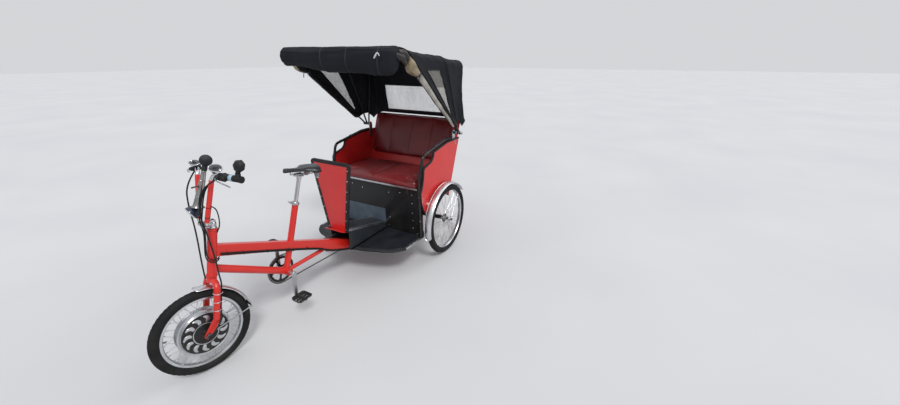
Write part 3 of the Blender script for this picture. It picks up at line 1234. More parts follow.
# Tunnel: the mat on its top and the ribbed metal edges
tunnel_line = [(x, 0, tunnel_z(x)) for x in (322.5, 440, 560, 680, 799.5)]
way_up = Vector((-0.2425, 0, 0.9701))
tunnel_trim = Shape()
tunnel_mat = [(-82, 0.3), (82, 0.3), (82, 2.2), (80, 3.2), (-80, 3.2), (-82, 2.2)]
tunnel_trim.add(sweep(tunnel_line, tunnel_mat, way_up), 0)
for hand in (-1, 1):
    edge = [(x, hand * 100, z) for x, y, z in tunnel_line]
    rows = [(-27, 0.3), (-27, 2.4)]
    for k in range(5):
        rows += [(-25 + 5 * k, 3.0), (-23.8 + 5 * k, 4.2), (-21.6 + 5 * k, 4.2), (-20.6 + 5 * k, 3.0)]
    rows += [(0.5, 3.4), (3.2, 2.2), (3.8, -1), (3.8, -13), (1.0, -13), (0.4, 0.3)]
    tunnel_trim.add(sweep(edge, outward(rows, hand), way_up), 1)
    for x in range(350, 771, 105):
        at = moved(x, hand * 103.6, tunnel_z(x) - 7)
        tunnel_trim.add(head(2.8, 1.8), 2, at @ turned("X", -90 * hand))
    foot = [(x, hand * 100, 262.4) for x in (323, 799)]
    tunnel_trim.add(sweep(foot, outward([(0, 0), (-9, 0), (-3, 4), (-1, 12), (0, 12)], hand)), 3)
piece("tunnel_edges", tunnel_trim, STILL, [FLOOR, TRIM_METAL, WHITE_RIVET, BEAD], "chassis")

# Dash: the red board, its black folded edge with rivets, and the lip at its foot
DASH_AT = Matrix(((0, 0, 1, 800), (1, 0, 0, 0), (0, 1, 0, 0), (0, 0, 0, 1)))
dash_line = [(-97, 425), (97, 425)] + bow_points(25, -9.9, 90, 8, 170.2, 980)
dash_line += bow_points(25, 90, 189.9, 8, -170.2, 980)
dash = Shape().add(slab(dash_line, 0, 15, 1.6))
LIP = Matrix(((0, 0.894, -0.447, 0), (1, 0, 0, 0), (0, 0.447, 0.894, 0), (0, 0, 0, 1)))
dash.add(slab(rounded(186, 62, 8, y=32), 0, 4.5, 1.2), 0, DASH_AT.inverted() @ moved(814, 0, 425) @ LIP)
piece("dash", dash, DASH_AT, [PANEL], "chassis", "dash_panel", sharp=30)
dash_edge = Shape()
dash_edge.add(sweep(flat_path(dash_line[1:] + dash_line[:1], 7.5), outward(channel(15, 1.8, 22), 1)), 0)
for hand in (-1, 1):
    for k in range(7):
        y = 450 + 84 * k
        x = 97 + (y - 425) * 0.1741
        dash_edge.add(head(4.2, 2.6), 1, moved(hand * (x - 12), y, 17))
        dash_edge.add(head(4.0, 2.4), 1, moved(hand * (x + 1.6), y + 30, 7.5) @ turned("Y", 90 * hand))
piece("dash_edge", dash_edge, DASH_AT, [BEAD, WHITE_RIVET], "chassis")

# Seat box: rivets, brackets and the metal edge of the deck
BOX_FRONT = 322.2
BOX_RIVETS = (
    (395, 640), (395, 560), (395, 470), (398, 400), (395, 325),
    (438, 275), (150, 620), (150, 380), (130, 300), (270, 640),
)
seat_box = Shape()
for hand in (-1, 1):
    for y, z in BOX_RIVETS:
        seat_box.add(head(4.6, 2.6), 0, moved(BOX_FRONT, hand * y, z) @ turned("Y", 90))
    bracket = slab(rounded(60, 26, 4), 0, 2.5, 0.8)
    seat_box.add(bracket, 1, moved(BOX_FRONT, hand * 350, 670) @ turned("Y", 90))
piece("seat_box_rivets", seat_box, STILL, [WHITE_RIVET, STEEL], "chassis")
lip = [(-1, 6.3), (-1, 7.6), (3.4, 7.2), (4, 6), (4, -8), (2.6, -9), (2.6, -6), (0.4, -6), (0.4, 6.3)]
deck_edge = Shape().add(sweep([(345, -469, 706), (345, 469, 706)], lip))
piece("deck_edge", deck_edge, STILL, [TRIM_METAL], "chassis")

# Battery under the deck: case with a seam, ribs, straps, lock and socket
case_line = rounded(250, 380, 14, x=140)
case = Shape().add(slab(case_line, 520, 700, 3))
case.add(sweep(flat_path(case_line, 640), [(-0.4, -2), (1.6, -1.4), (1.6, 1.4), (-0.4, 2)], loop=True), 1)
for y in (-120, 120):
    strap = bent([(11, y, 699), (11, y, 516), (269, y, 516), (269, y, 699)], (12, 12), 5)
    case.add(sweep(strap, [(-1, -14), (1, -14), (1, 14), (-1, 14)], (0, 1, 0)), 2)
case.add(nut(9, 5), 2, moved(265, 40, 665) @ turned("Y", 90))
case.add(lathe([(14, 0), (14, 5), (11, 7), (8, 7), (8, 2)], 24), 1, moved(265, -60, 600) @ turned("Y", 90))
piece("battery_case", case, STILL, [MATT, BEAD, WEB], "chassis", "battery")

# Side panels: board, folded edge with rivets, and the bolts of the hood bracket and the fender bracket
PANEL_TOP = [(-337, 1028), (-101, 1026)] + arc((132, 986), (146, 937), (186, 910)) + [(262, 891)]
PANEL_FRONT = arc((262, 891), (288, 878), (300, 852), 5)[1:] + arc((300, 852), (316, 762), (348, 684))[1:]
PANEL_LOW = arc((348, 684), (334, 566), (288, 466), 10)[1:]
FENDER_BRACKETS = (42, 112)
arch_end = math.degrees(math.atan2(506 - REAR_R, -132))
ARCH = bow_points(222, 5, arch_end, 24, 0, REAR_R)
panel_line = PANEL_TOP + PANEL_FRONT + PANEL_LOW + ARCH + [(-132, 506)]
bracket_bolts = []
for angle in FENDER_BRACKETS:
    a = radians(angle)
    bracket_bolts += [(341.5 * cos(a) - s * sin(a), REAR_R + 341.5 * sin(a) + s * cos(a)) for s in (-9, 9)]
PANEL_HEADS = (
    # radius, height, look, places
    (6, 4.5, 1, ((-268, 980), (-248, 1000), (-268, 1010))),
    (5, 3.5, 1, bracket_bolts),
    (4.2, 2.2, 2, ((-60, 1000), (90, 968), (318, 640), (300, 560), (-180, 640), (-240, 800), (-200, 560))),
)
for hand, side in ((1, "left"), (-1, "right")):
    place = moved(0, hand * 503, 0) @ SIDE
    panel = Shape().add(slab(panel_line, -7, 7, 2.2))
    piece(f"panel_{side}", panel, place, [PANEL], "chassis", f"side_panel_{side}", sharp=30)
    trim = Shape()
    trim.add(sweep(flat_path(PANEL_TOP + PANEL_FRONT), channel(14, 1.6, 9)), 0)
    trim.add(sweep(flat_path(PANEL_FRONT[-1:] + PANEL_LOW), channel(14, 1.2, 4)), 0)
    trim.add(sweep(flat_path(reversed(ARCH)), outward(channel(14, 1.2, 5), 1)), 0)
    face_out = turned("X", 180 if hand > 0 else 0)
    for radius, height, look, places in PANEL_HEADS:
        for x, y in places:
            trim.add(head(radius, height), look, moved(x, y, -7 * hand) @ face_out)
    piece(f"panel_edge_{side}", trim, place, [BEAD, ALLOY, PANEL], "chassis")

# Arm rest tubes with their clips and end plugs
ARM_Y = 483.2
ARM_X = 334.8
rests = Shape()
for hand in (-1, 1):
    at = moved(0, hand * ARM_Y, 0)
    line = [(-205, 0, 1040), (-101, 0, 1040), (268, 0, 976), (ARM_X, 0, 760), (ARM_X, 0, 262.2)]
    rests.add(pipe(bent(line, (150, 60, 120), 10), 12.5, 20), 0, at)
    rests.add(pipe([(-212, 0, 1040), (-211, 0, 1040), (-205, 0, 1040)], [8, 12.2, 12.9], 20), 1, at)
    flange = [(12.6, 0), (26, 0), (26, 3), (14, 4.5), (12.6, 4.5)]
    rests.add(lathe(flange, 32), 2, at @ moved(ARM_X, 0, 262.3))
    for x, z in ((60, 1014.5), (200, 988.5)):
        rests.add(pipe([(x - 9, 0, z + 1.6), (x + 9, 0, z - 1.6)], 13.6, 20), 2, at)
    for z in (640, 420):
        rests.add(pipe([(ARM_X, 0, z - 9), (ARM_X, 0, z + 9)], 13.4, 20), 2, at)
piece("arm_rest_tubes", rests, STILL, [BLACK_TUBE, RUBBER, STEEL], "chassis", "arm_rests")

# Grey mat hung on the seat front's left part
columns, levels = 29, 13
mat = []
for depth in (0.0, 3.0):
    for j in range(levels):
        for i in range(columns):
            y = 100 - 560 * i / (columns - 1)
            z = 266 + 190 * j / (levels - 1)
            wave = 1.6 * noise.noise(Vector((y * 0.012, z * 0.015, 4.0))) + 1.0
            mat.append((322.3 + wave + depth, y, z))
back_side = columns * levels
mat_faces = grid_faces(levels, columns)
mat_faces += [tuple(reversed([k + back_side for k in face])) for face in grid_faces(levels, columns)]
rim_line = list(range(columns)) + [j * columns + columns - 1 for j in range(1, levels)]
rim_line += reversed(range((levels - 1) * columns, levels * columns - 1))
rim_line += [j * columns for j in reversed(range(1, levels - 1))]
mat_faces += [(a, b, b + back_side, a + back_side) for a, b in zip(rim_line, rim_line[1:] + rim_line[:1])]
piece("kick_mat", Shape().add((mat, mat_faces)), STILL, [KICK], "chassis", sharp=40)

# Back panel: board, folded edge, lamps
back_line = rounded(991.4, 583.4, 10, y=-125.2)
back = Shape().add(slab(back_line, 0, 12, 2))
piece("back_board", back, BACK, [PANEL], "chassis", "back_panel", sharp=30)
back_edge = Shape()
over_edge = flat_path([p for p in back_line if p[1] > -300], 6)
back_edge.add(sweep(over_edge, outward(channel(12, 1.4, 12), 1)), 0)
LAMP_PARTS = (
    # outline: width, height, corner, distance from the middle; then low, high, edge and look
    (90, 46, 9, 400, -24, 0, 3, 1),
    (80, 36, 7, 400, -27, -23, 1.5, 2),
    (37, 32, 6, 379, -29, -26, 1, 3),
)
for hand in (-1, 1):
    for wide, high, corner, far, low, top, edge, look in LAMP_PARTS:
        back_edge.add(slab(rounded(wide, high, corner, x=hand * far, y=-120), low, top, edge), look)
for x in (-440, -290, -145, 0, 145, 290, 440):
    for y, z in ((150, -1.4), (-395, 0)):
        back_edge.add(head(4.4, 2.6), 4, moved(x, y, z) @ turned("X", 180))
looks = [BEAD, MATT, LENS, AMBER, ALLOY]
piece("back_edge_and_lamps", back_edge, BACK, looks, "chassis", "rear_lamps", sharp=30)

# Cushions: blown up by a cloth simulation, then piping and sewn channels
CLOTH_FRAMES = 20
CORNER_R = 46


def swell(obj, place, hold, cap):
    """Blow up a cushion by at most cap. hold gives how firmly a local point stays."""
    remesh = obj.modifiers.new("even", "REMESH")
    remesh.mode = "VOXEL"
    remesh.voxel_size = 0.008
    keep_modifiers(obj)
    back = MM @ place
    local = back.inverted()
    start = [v.co.copy() for v in obj.data.vertices]
    group = obj.vertex_groups.new(name="hold")
    for v in obj.data.vertices:
        group.add([v.index], hold(local @ v.co), "REPLACE")
    cloth = obj.modifiers.new("cloth", "CLOTH")
    cloth.settings.quality = 4
    cloth.settings.mass = 0.3
    cloth.settings.use_pressure = True
    cloth.settings.uniform_pressure_force = 4
    cloth.settings.vertex_group_mass = "hold"
    cloth.settings.effector_weights.gravity = 0
    cloth.point_cache.frame_end = CLOTH_FRAMES
    scene = bpy.context.scene
    for now in range(1, CLOTH_FRAMES + 1):
        scene.frame_set(now)
    graph = bpy.context.evaluated_depsgraph_get()
    blown = [v.co.copy() for v in obj.evaluated_get(graph).data.vertices]
    obj.modifiers.clear()
    scene.frame_set(1)
    reach = cap / 1000
    for v, a, b in zip(obj.data.vertices, start, blown):
        step = b - a
        if step.length > 1e-7:
            step *= reach * math.tanh(step.length / reach) / step.length
        p = local @ (a + step)
        p.z = max(p.z, 0)
        v.co = back @ p


def cushion(name, place, size, height, edge, firm_height, axis, channels, wide, cap):
    """A cushion's cover, held down along its sewn channels, which lie at places on an axis."""

    def hold(p):
        firm = max(0.0, 1 - max(0.0, p.z) / firm_height)
        sewn = max(near_line(p[axis], at, wide) for at in channels)
        return min(1.0, max(firm, sewn * 0.9))

    cover = Shape().add(slab(rounded(*size, CORNER_R, 7), 0, height, edge))
    looks, node = [VINYL], f"{name}_cushion"
    obj = piece(f"{name}_cushion_cover", cover, place, looks, "chassis", node, sharp=70)
    swell(obj, place, hold, cap)
    finer(obj, 1)
    return obj


def cushion_piping(name, obj, place, size, top, radius, sewn, sewn_radius):
    """Piping round a cushion's foot and top, and the cords in its sewn channels."""
    made = Shape()
    for level in (7, top):
        line = []
        for x, y in rounded(*size, CORNER_R, 12):
            away = Vector((x, y, 0)).normalized()
            line += on_mesh(obj, place, [(x + away.x * 70, y + away.y * 70, level)], -away, 1.2)
        made.add(pipe(line, radius, 8, loop=True))
    for line in sewn:
        made.add(pipe(on_mesh(obj, place, line, (0, 0, -1), 0.4), sewn_radius, 6))
    piece(f"{name}_piping", made, place, [PIPING], "chassis", sharp=60)


SEAT_AT = moved(107.5, 0, 712.3)
SEAT_SIZE = (500, 916)
REST_AT = BACK @ moved(0, -45, 12.5)
REST_SIZE = (916, 400)
REST_SEAMS = (-233, 0, 233)
seat = cushion("seat", SEAT_AT, SEAT_SIZE, 54, 12, 26, 1, (0,), 9, 22)
rest = cushion("back", REST_AT, REST_SIZE, 44, 11, 22, 0, REST_SEAMS, 8, 20)
sewn = [between((-250, 0, 150), (250, 0, 150), 50)]
cushion_piping("seat", seat, SEAT_AT, SEAT_SIZE, 50, 3.4, sewn, 2.0)
sewn = [between((x, -198, 150), (x, 198, 150), 40) for x in REST_SEAMS]
cushion_piping("back", rest, REST_AT, REST_SIZE, 41, 3.2, sewn, 1.9)

# Rear fenders on their brackets
for side, place, hand, nodes in (("left", REAR_LEFT, 1, "rear_fenders"), ("right", REAR_RIGHT, -1, "")):
    fender = Shape().add(fender_mesh(351.5, 31, *sorted((-13 * hand, 146 * hand))))
    for angle in FENDER_BRACKETS:
        spin = turned("Z", angle * hand)
        fender.add(slab(rounded(4, 30, 1.5, x=341.5), 26, 50, 0.6), 1, spin)
        fender.add(slab(rounded(20, 30, 3, x=335), 47, 50, 0.6), 1, spin)
    for angle in (20, 70, 135):
        fender.add(head(4, 2.4), 1, turned("Z", angle * hand) @ moved(352.5, 0, 0) @ turned("Y", 90))
    piece(f"fender_rear_{side}", fender, place, [FENDER, ALLOY], "chassis", nodes, sharp=50)

# Hood

ACROSS = 96
EDGE_STEPS = 120
HOOD_MIDDLE = Vector((-150, 0, 1250))
CLOTH_START = 111
CLOTH_CORNER = 68
CLOTH_THICK = 2.0
# Shares of half an edge at which its leg ends, and at which its corner ends
LEG_END = 0.46
CORNER_END = 0.6
# edge: angle, reach from the pivot line and half width of the cloth's outer side
EDGES = {
    "front": (40.6, 1085, 571),
    "mid": (69, 702, 547.5),
    "rear": (101, 633, 528),
    "low": (152, 229, 528),
}


def edge_point(name, v):
    """A point on one of the cloth's U-shaped edges, from the left end at v 0 to the right end at v 1."""
    angle, reach, half = EDGES[name]
    v = min(max(v, 0.0), 1.0)
    hand = -1 if v > 0.5 else 1
    share = 2 * min(v, 1 - v)
    if share < LEG_END:
        x, y = CLOTH_START + (reach - CLOTH_CORNER - CLOTH_START) * share / LEG_END, half
    elif share < CORNER_END:
        a = pi / 2 * (share - LEG_END) / (CORNER_END - LEG_END)
        x, y = reach - CLOTH_CORNER + CLOTH_CORNER * sin(a), half - CLOTH_CORNER + CLOTH_CORNER * cos(a)
    else:
        x, y = reach, (half - CLOTH_CORNER) * (1 - (share - CORNER_END) / (1 - CORNER_END))
    turn = radians(angle)
    return HOOD + Vector((x * cos(turn), y * hand, x * sin(turn)))


def hood_cloth(first, second, steps, sag, folds, seed):
    """Cloth between two edges. It sags between them and creases towards its corners."""
    verts = []
    uvs = []
    for i in range(steps + 1):
        t = i / steps
        for j in range(ACROSS + 1):
            v = j / ACROSS
            a, b = edge_point(first, v), edge_point(second, v)
            run = b - a
            along = edge_point(first, v + 0.01).lerp(edge_point(second, v + 0.01), t)
            along -= edge_point(first, v - 0.01).lerp(edge_point(second, v - 0.01), t)
            out = along.cross(run).normalized()
            p = a.lerp(b, t)
            if out.dot(p - HOOD_MIDDLE) < 0:
                out = -out
            free = sin(pi * t)
            share = 2 * min(v, 1 - v)
            ends = min(1.0, share / 0.08)
            slack = noise.noise(Vector((v * 9, t * 2.2, seed)))
            crease = abs(noise.noise(Vector((v * 26 + t * 3, t * 1.3, seed + 7)))) - 0.25
            fine = noise.noise(Vector((v * 60 + t * 9, t * 7, seed + 2)))
            pull = sin(t * 21 + v * 40) * near_line(share, 0.53, 0.1) * 1.8
            p = p - out * (sag * free * (0.75 + 0.5 * slack) * ends)
            p = p + out * ((folds * crease * (0.25 + free) + 1.1 * fine) * ends + pull * free)
            verts.append(p)
            uvs.append((v * 3.0, t * run.length / 1000 + seed))
    return Shape().add((verts, grid_faces(steps + 1, ACROSS + 1), uvs))


def cloth_row(shape, index):
    """The points of one row across a hood cloth."""
    start = index * (ACROSS + 1)
    return shape.verts[start : start + ACROSS + 1]


def thicken(obj, depth):
    solid = obj.modifiers.new("thick", "SOLIDIFY")
    solid.thickness = depth / 1000
    solid.offset = -1
    solid.use_even_offset = False
    keep_modifiers(obj)


def cut_window(obj, corners, way, look, keep):
    """Give the faces inside a prism along way another look, where keep allows, with clean borders."""
    mesh = bmesh.new()
    mesh.from_mesh(obj.data)
    flat = [MM @ Vector(p) for p in corners]
    middle = sum(flat, Vector()) / len(flat)
    sides = []
    for a, b in closed_runs(flat):
        normal = (b - a).cross(Vector(way)).normalized()
        if normal.dot(middle - a) < 0:
            normal = -normal
        sides.append((a, normal))
        everything = mesh.verts[:] + mesh.edges[:] + mesh.faces[:]
        bmesh.ops.bisect_plane(mesh, geom=everything, plane_co=a, plane_no=normal, dist=1e-6)
    for face in mesh.faces:
        centre = face.calc_center_median()
        if keep(centre) and all((centre - a).dot(normal) > 0 for a, normal in sides):
            face.material_index = look
    mesh.to_mesh(obj.data)
    mesh.free()


def edge_line(name, shift=0.0):
    """Points along an edge of the cloth, moved a little out from the pivot."""
    line = []
    for j in range(EDGE_STEPS + 1):
        p = edge_point(name, j / EDGE_STEPS)
        out = p - HOOD
        out.y *= 0.2
        line.append(p + out.normalized() * shift)
    return line


def lumpy(count, radius, wobble, seed):
    return [radius + wobble * noise.noise(Vector((k * 0.4, 0, seed))) for k in range(count)]


def closed_runs(corners):
    return zip(corners, corners[1:] + corners[:1])


def seam(name, a, b, steps, way, radius):
    """A cord laid on a hood cloth where rays from the line a to b meet it."""
    line = on_mesh(sheets[name], STILL, between(a, b, steps), way)
    seams[name].add(pipe(line, radius, 6))


BACK_CORNERS = ((-395, 1222), (395, 1222), (385, 1470), (-385, 1470))
WINDOW_CORNERS = ((298, 1646), (80, 1640), (-126, 1243), (-106, 1243))
SHEETS = {
    "front": hood_cloth("front", "mid", 30, 11, 9, 0.0),
    "rear": hood_cloth("mid", "rear", 24, 9, 8, 3.0),
    "back": hood_cloth("rear", "low", 28, 14, 12, 6.0),
}
looks = [CLOTH, WINDOW, BACK_WINDOW]
sheets = {
    name: piece(f"hood_{name}_sheet", shape, STILL, looks, None, sharp=60)
    for name, shape in SHEETS.items()
}
cut_window(sheets["front"], [(x, 0, z) for x, z in WINDOW_CORNERS], (0, 1, 0), 1, lambda p: abs(p.y) > 0.4)
cut_window(sheets["back"], [(0, y, z) for y, z in BACK_CORNERS], (1, 0, 0), 2, lambda p: abs(p.y) < 0.45)

seams = {name: Shape() for name in SHEETS}
# Where the rays that lay the seams start: beside, above and behind the hood
BESIDE, ABOVE, BEHIND = 800, 2100, -1200
WIDE_CORNERS = ((322, 1664), (58, 1656), (-140, 1222))
for side in (-1, 1):
    for (x, z), (x2, z2) in closed_runs(WINDOW_CORNERS):
        seam("front", (x, side * BESIDE, z), (x2, side * BESIDE, z2), 24, (0, -side, 0), 5.5)
    for (x, z), (x2, z2) in zip(WIDE_CORNERS, WIDE_CORNERS[1:]):
        seam("front", (x, side * BESIDE, z), (x2, side * BESIDE, z2), 24, (0, -side, 0), 1.6)
for (y, z), (y2, z2) in closed_runs(BACK_CORNERS):
    seam("back", (BEHIND, y, z), (BEHIND, y2, z2), 30, (1, 0, 0), 5.0)
for y in (-250, 250):
    seam("front", (520, y, ABOVE), (40, y, ABOVE), 24, (0, 0, -1), 1.8)
    seam("rear", (-30, y, ABOVE), (-350, y, ABOVE), 20, (0, 0, -1), 1.8)
    seam("back", (BEHIND, y, 1640), (BEHIND, y, 1486), 12, (1, 0, 0), 1.8)
# The sleeves that hold the middle and the rear bow show as a pair of stitched lines
for name, index, radius in (("front", 28, 2.2), ("rear", 1, 2.2), ("rear", 22, 2.0), ("back", 2, 2.0)):
    seams[name].add(pipe(cloth_row(SHEETS[name], index), radius, 6))
seams["rear"].add(pipe(edge_line("mid", -1), 5.0, 8))
seams["front"].add(pipe(edge_line("front"), lumpy(EDGE_STEPS + 1, 6, 0.8, 1), 8))
seams["back"].add(pipe(edge_line("low"), lumpy(EDGE_STEPS + 1, 6, 1.0, 4), 8))

HOOD_PIECES = {
    # sheet: nodes, body before, body after, their angles, bows under it
    "front": ("hood_cloth_front hood_windows", "hood_mid", "hood_front", (69, 41), ["mid_bow", "front_bow"]),
    "rear": ("hood_cloth_rear", "hood_rear", "hood_mid", (98, 69), ["rear_bow", "mid_bow"]),
    "back": ("hood_back", "chassis", "hood_rear", (152, 98), ["rear_bow"]),
}


def length_of(line):
    return sum((b - a).length for a, b in zip(line, line[1:]))


def sheet_cut(shape):
    """Width and length in metres of the flat piece that a hood cloth is cut from."""
    lines = [cloth_row(shape, index) for index in range(len(shape.verts) // (ACROSS + 1))]
    return max(map(length_of, lines)) / 1000, max(map(length_of, zip(*lines))) / 1000


for name, (nodes, before, after, angles, bows) in HOOD_PIECES.items():
    cut = sheet_cut(SHEETS[name])
    sheet = sheets[name]
    thicken(sheet, CLOTH_THICK)
    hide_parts(*nodes.split())
    trim = piece(f"hood_{name}_binding", seams[name], STILL, [BINDING], None, sharp=60)
    start, end = (MM @ (hood_frame(a) @ Vector((560, 0, 0))) for a in angles)
    for part in (sheet, trim):
        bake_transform(part)

# Rolled front curtain, slack below and deepest near its left end
ROLL_AT = Vector((1099, 0, -81))
ROLL_HALF = 545
FRONT_BOW = hood_frame(41)
TIES = (-100, 142, 420)
DOWN_WAY = (FRONT_BOW.inverted().to_3x3() @ Vector((0.25, 0, -1))).normalized()


def roll_point(y, a, lift=0.0):
    """A point of the roll's skin at a place across the hood and an angle round it."""
    way = Vector((cos(a), 0, sin(a)))
    slack = 22 + 46 * near_line(y, 60, 300) + 52 * near_line(y, 430, 150)
    fold = noise.noise(Vector((y * 0.0032, cos(a) * 2.6, sin(a) * 2.6)))
    ripple = noise.noise(Vector((y * 0.012, cos(a) * 1.2, sin(a) * 1.2 + 5)))
    lengthwise = abs(noise.noise(Vector((y * 0.0022, a * 1.9, 3.0))))
    tie = max(near_line(y, t, 20) for t in TIES)
    end = math.sqrt(max(0.0, 1 - max(0.0, (abs(y) - ROLL_HALF + 34) / 34) ** 2))
    r = (58 * (0.94 + 0.1 * fold + 0.035 * ripple + 0.12 * lengthwise) - 1.5 * tie) * (0.45 + 0.55 * end)
    hang = max(0.0, way.dot(DOWN_WAY)) ** 1.3 * slack * (1 - 0.07 * tie) * (0.3 + 0.7 * end)
    hang *= 1 + 0.22 * noise.noise(Vector((y * 0.0045, 0.2, 8.0)))
    return Vector((0, y, 0)) + way * (r + lift) + DOWN_WAY * hang


def roll_end(ring, sign):
    """Rings that close an end of the roll, stepped like the turns of a rolled sheet, from its middle out."""
    centre = sum(ring, Vector()) / len(ring)
    rows = []
    for size, depth in ((0.28, -7), (0.34, 1), (0.54, -6), (0.6, 1), (0.78, -6), (0.84, 2)):
        rows.append([centre + (p - centre) * size + Vector((0, sign * depth, 0)) for p in ring])
    return rows


steps, sides = 110, 56
rings = []
for i in range(steps + 1):
    y = -ROLL_HALF + 2 * ROLL_HALF * i / steps
    rings.append(around(sides, lambda a: roll_point(y, a)))
rings = roll_end(rings[0], -1) + rings + roll_end(rings[-1], 1)[::-1]
skin = [p for ring in rings for p in ring]
roll = Shape().add((skin, grid_faces(len(rings), sides, loop=True, ends=True)), 0, moved(*ROLL_AT))
# The sleeve by which the curtain hangs from the bow
roll.add(pipe([(1092, y, -18) for y in range(-500, 501, 50)], lumpy(21, 12, 1.5, 9), 14), 0)
piece("front_curtain_roll", roll, FRONT_BOW, [CLOTH], "hood_front", "curtain_roll", sharp=60)

straps = Shape()
for y in TIES:
    for shift in (-4, 0, 4):
        ring = around(48, lambda a: ROLL_AT + roll_point(y + shift, a, 0.6))
        straps.add(pipe(ring, 1.6, 6, loop=True), 0)
    ring = around(20, lambda a: (1052 + 12 * cos(a), y, 12 * sin(a)))
    straps.add(pipe(ring, 2.0, 6, loop=True), 0)
CLIP = moved(*(ROLL_AT + roll_point(425, radians(-36), 3))) @ turned("Y", 126)
clip_line = [(18, -24, 2), (4, -12, 5), (-12, 2, 6), (-10, 12, 6), (5, 20, 4)]
straps.add(pipe(curve_through(clip_line, 5), 3.6, 8, wide=1.6), 1, CLIP)
tail = [(5, 20, 4), (22, 21, 4), (34, 20, -2), (44, 19, -12), (50, 18, -28)]
straps.add(pipe(curve_through(tail, 5), 1.8, 8), 2, CLIP)
straps.add(lathe([(1, -6), (5, -5), (7, 0), (5, 5), (1, 6)], 16, ring=False), 1, CLIP @ moved(51, 18, -34))
piece("curtain_straps", straps, FRONT_BOW, [WEB, PALE, MATT], "hood_front")

# Rolled clear side curtains along the front bow's legs, with their dark border towards the cabin
SIDE_TIE = 850
SIDE_ROLL_STEPS = 110
SIDE_ROLL_SIDES = 32


def side_roll_radius(x):
    radius = 13 + 10 * min(1.0, max(0.0, (x - 150) / 650)) + 19 * near_line(x, 945, 66)
    return radius * (1 - 0.3 * near_line(x, SIDE_TIE, 12))


def side_roll_x(i):
    return 140 + 880 * i / SIDE_ROLL_STEPS


def side_roll_skin(side):
    skin = []
    for i in range(SIDE_ROLL_STEPS + 1):
        x = side_roll_x(i)
        r = side_roll_radius(x) * min(1.0, 0.5 + min(i, SIDE_ROLL_STEPS - i) * 0.12)
        bend = 4 * noise.noise(Vector((x * 0.008, side, 0.3)))
        for k in range(SIDE_ROLL_SIDES):
            a = 2 * pi * k / SIDE_ROLL_SIDES
            streak = noise.noise(Vector((x * 0.0045, cos(a) * 3.2 + side, sin(a) * 3.2)))
            pleat = abs(noise.noise(Vector((x * 0.01, a * 2.6 + x * 0.004, side + 4)))) - 0.2
            now = r * (1 + 0.14 * streak + 0.2 * pleat)
            skin.append((x, side * (556 + bend + now * cos(a)), -11 - r + bend + now * sin(a)))
    return skin


def side_roll_look(i, k):
    """The dark border winds slowly round the roll. Beyond the tie the rest is aged."""
    if 12 <= k + i * 0.03 < 24:
        return 1
    return 3 if side_roll_x(i) > SIDE_TIE + 8 else 0


side_rolls = Shape()
for side in (-1, 1):
    skin = side_roll_skin(side)
    start = len(side_rolls.faces)
    side_rolls.add((skin, grid_faces(SIDE_ROLL_STEPS + 1, SIDE_ROLL_SIDES, loop=True, ends=True)), 0)
    looks = [side_roll_look(i, k) for i in range(SIDE_ROLL_STEPS) for k in range(SIDE_ROLL_SIDES)]
    side_rolls.looks[start:] = looks + [1, 3]
    for k in (12, 24):
        rows = range(2, SIDE_ROLL_STEPS - 1)
        line = [skin[i * SIDE_ROLL_SIDES + (k - int(i * 0.03)) % SIDE_ROLL_SIDES] for i in rows]
        side_rolls.add(pipe(line, 1.8, 6), 1)
    r = side_roll_radius(SIDE_TIE) + 1
    at = moved(SIDE_TIE, 0, -11 - r)
    for shift in (-4, 0, 4):
        ring = []
        for across, up in circle_points(1, 24):
            ring.append((shift, side * (556 + (r + 2) * across), (r + (9 if up > 0 else 0)) * up))
        side_rolls.add(pipe(ring, 2.0, 6, loop=True), 2, at)
    knot = (0, side * (558 + r), -3)
    side_rolls.add(ball(6, 12, 8), 2, at @ moved(*knot))
    loose = [knot, (10, side * (566 + r), -19), (6, side * (562 + r), -41), (-8, side * (565 + r), -59)]
    side_rolls.add(pipe(curve_through(loose, 5), 2.0, 6, wide=1.8), 2, at)
looks = [CURTAIN, BINDING, WEB, AGED]
piece("side_curtain_rolls", side_rolls, FRONT_BOW, looks, "hood_front", "side_curtains", sharp=60)

# Crumpled ends of the curtains, gathered at the hood's front corners
FOLDS = (
    # radius at the middle, then the fold's middle line: x, y and z in the front bow's plane
    (25, ((1092, 478, -46), (1082, 524, -42), (1052, 560, -40), (1014, 566, -46))),
    (22, ((1110, 505, -80), (1092, 545, -84), (1058, 562, -78), (1016, 560, -84))),
)
corner = Shape()
for side in (-1, 1):
    for index, (radius, middle_line) in enumerate(FOLDS):
        line = curve_through([(x, side * y, z) for x, y, z in middle_line], 9)
        sizes = []
        for k in range(len(line)):
            share = k / (len(line) - 1)
            bump = noise.noise(Vector((share * 4.0, index * 3.0, side)))
            full = 0.35 + 0.65 * sin(pi * min(0.97, max(0.03, share))) ** 0.6
            sizes.append(radius * full * (1 + 0.28 * bump))
        skin, faces = pipe(line, sizes, 20)
        push = Vector((0.5, 0.3 * side, 0.8)).normalized() * 7
        skin = [p + push * noise.noise(p * 0.028 + Vector((0, 0, index))) for p in skin]
        corner.add((skin, faces), 0)
piece("corner_bundle", corner, FRONT_BOW, [BUNDLE], "hood_front", sharp=60)

# Washers between the bows' eyes on the pivot pins, and the pins' nuts
pivots = Shape()
washer = [(5.4, -0.8), (12.5, -0.8), (13, 0), (12.5, 0.8), (5.4, 0.8)]
for side in (-1, 1):
    for y, look in ((496.5, 0), (502.8, 1), (521.5, 1), (529.5, 1), (544.8, 1), (552, 1), (567.5, 1)):
        pivots.add(lathe(washer, 24), look, moved(HOOD.x, side * y, HOOD.z) @ SIDE)
    pivots.add(nut(11, 9), 1, moved(HOOD.x, side * 575.5, HOOD.z) @ turned("X", -90 * side))
piece("hood_pivot_hardware", pivots, STILL, [BLACK, ALLOY], "chassis")

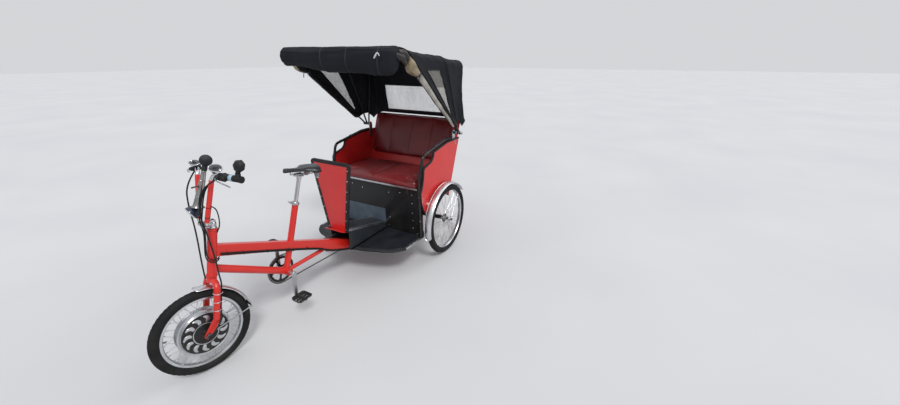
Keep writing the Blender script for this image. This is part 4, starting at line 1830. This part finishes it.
# Stage, light and camera
floor_mesh = bpy.data.meshes.new("floor")
floor_mesh.from_pydata([(-60, -60, 0), (60, -60, 0), (60, 60, 0), (-60, 60, 0)], [], [(0, 1, 2, 3)])
floor = add_object("floor", floor_mesh)
ground = Graph("floor_plain")
tone = ground.span(ground.noise(0.6, 2.0), 0.3, 0.7)
ground.feed(ground.shader.inputs["Base Color"], ground.mix(tone, (0.6, 0.6, 0.6), (0.56, 0.56, 0.57)))
ground.shader.inputs["Roughness"].default_value = 0.9
floor_mesh.materials.append(ground.material)

# World: soft from above and dimmer at the horizon. The camera sees one pale tone.
world = bpy.data.worlds.new("studio")
bpy.context.scene.world = world
world.use_nodes = True
nodes, links = world.node_tree.nodes, world.node_tree.links
seen = nodes.new("ShaderNodeTexCoord")
height = nodes.new("ShaderNodeSeparateXYZ")
links.new(seen.outputs["Generated"], height.inputs[0])
glow = nodes.new("ShaderNodeMapRange")
for key, value in (("From Min", -0.1), ("From Max", 0.9), ("To Min", 0.34), ("To Max", 0.95)):
    glow.inputs[key].default_value = value
links.new(height.outputs[2], glow.inputs["Value"])
light = nodes["Background"]
light.inputs["Color"].default_value = (0.92, 0.95, 1.0, 1)
links.new(glow.outputs[0], light.inputs["Strength"])
plain = nodes.new("ShaderNodeBackground")
plain.inputs["Color"].default_value = (0.66, 0.67, 0.69, 1)
path = nodes.new("ShaderNodeLightPath")
pick = nodes.new("ShaderNodeMixShader")
links.new(path.outputs["Is Camera Ray"], pick.inputs[0])
links.new(light.outputs[0], pick.inputs[1])
links.new(plain.outputs[0], pick.inputs[2])
links.new(pick.outputs[0], nodes["World Output"].inputs[0])

SUNS = (
    # name, where it shines from, strength, width in degrees
    ("key", (2.2, 2.6, 4.2), 1.55, 14),
    ("fill", (-3.0, 2.0, 2.6), 0.45, 40),
)
for name, place, strength, wide in SUNS:
    lamp = bpy.data.lights.new(name, "SUN")
    lamp.energy = strength
    lamp.angle = radians(wide)
    shine = add_object(name, lamp)
    shine.location = place
    shine.rotation_euler = (-Vector(place)).to_track_quat("-Z", "Y").to_euler()

camera_data = bpy.data.cameras.new("camera")
camera_data.lens = 14.256
camera_data.sensor_width = 36
camera = add_object("camera", camera_data)
camera.location = (1.819, 2.034, 1.733)
camera.rotation_euler = Vector((-0.8150, -0.4392, -0.3781)).to_track_quat("-Z", "Y").to_euler()
bpy.context.scene.camera = camera
bpy.context.scene.view_settings.view_transform = "Standard"
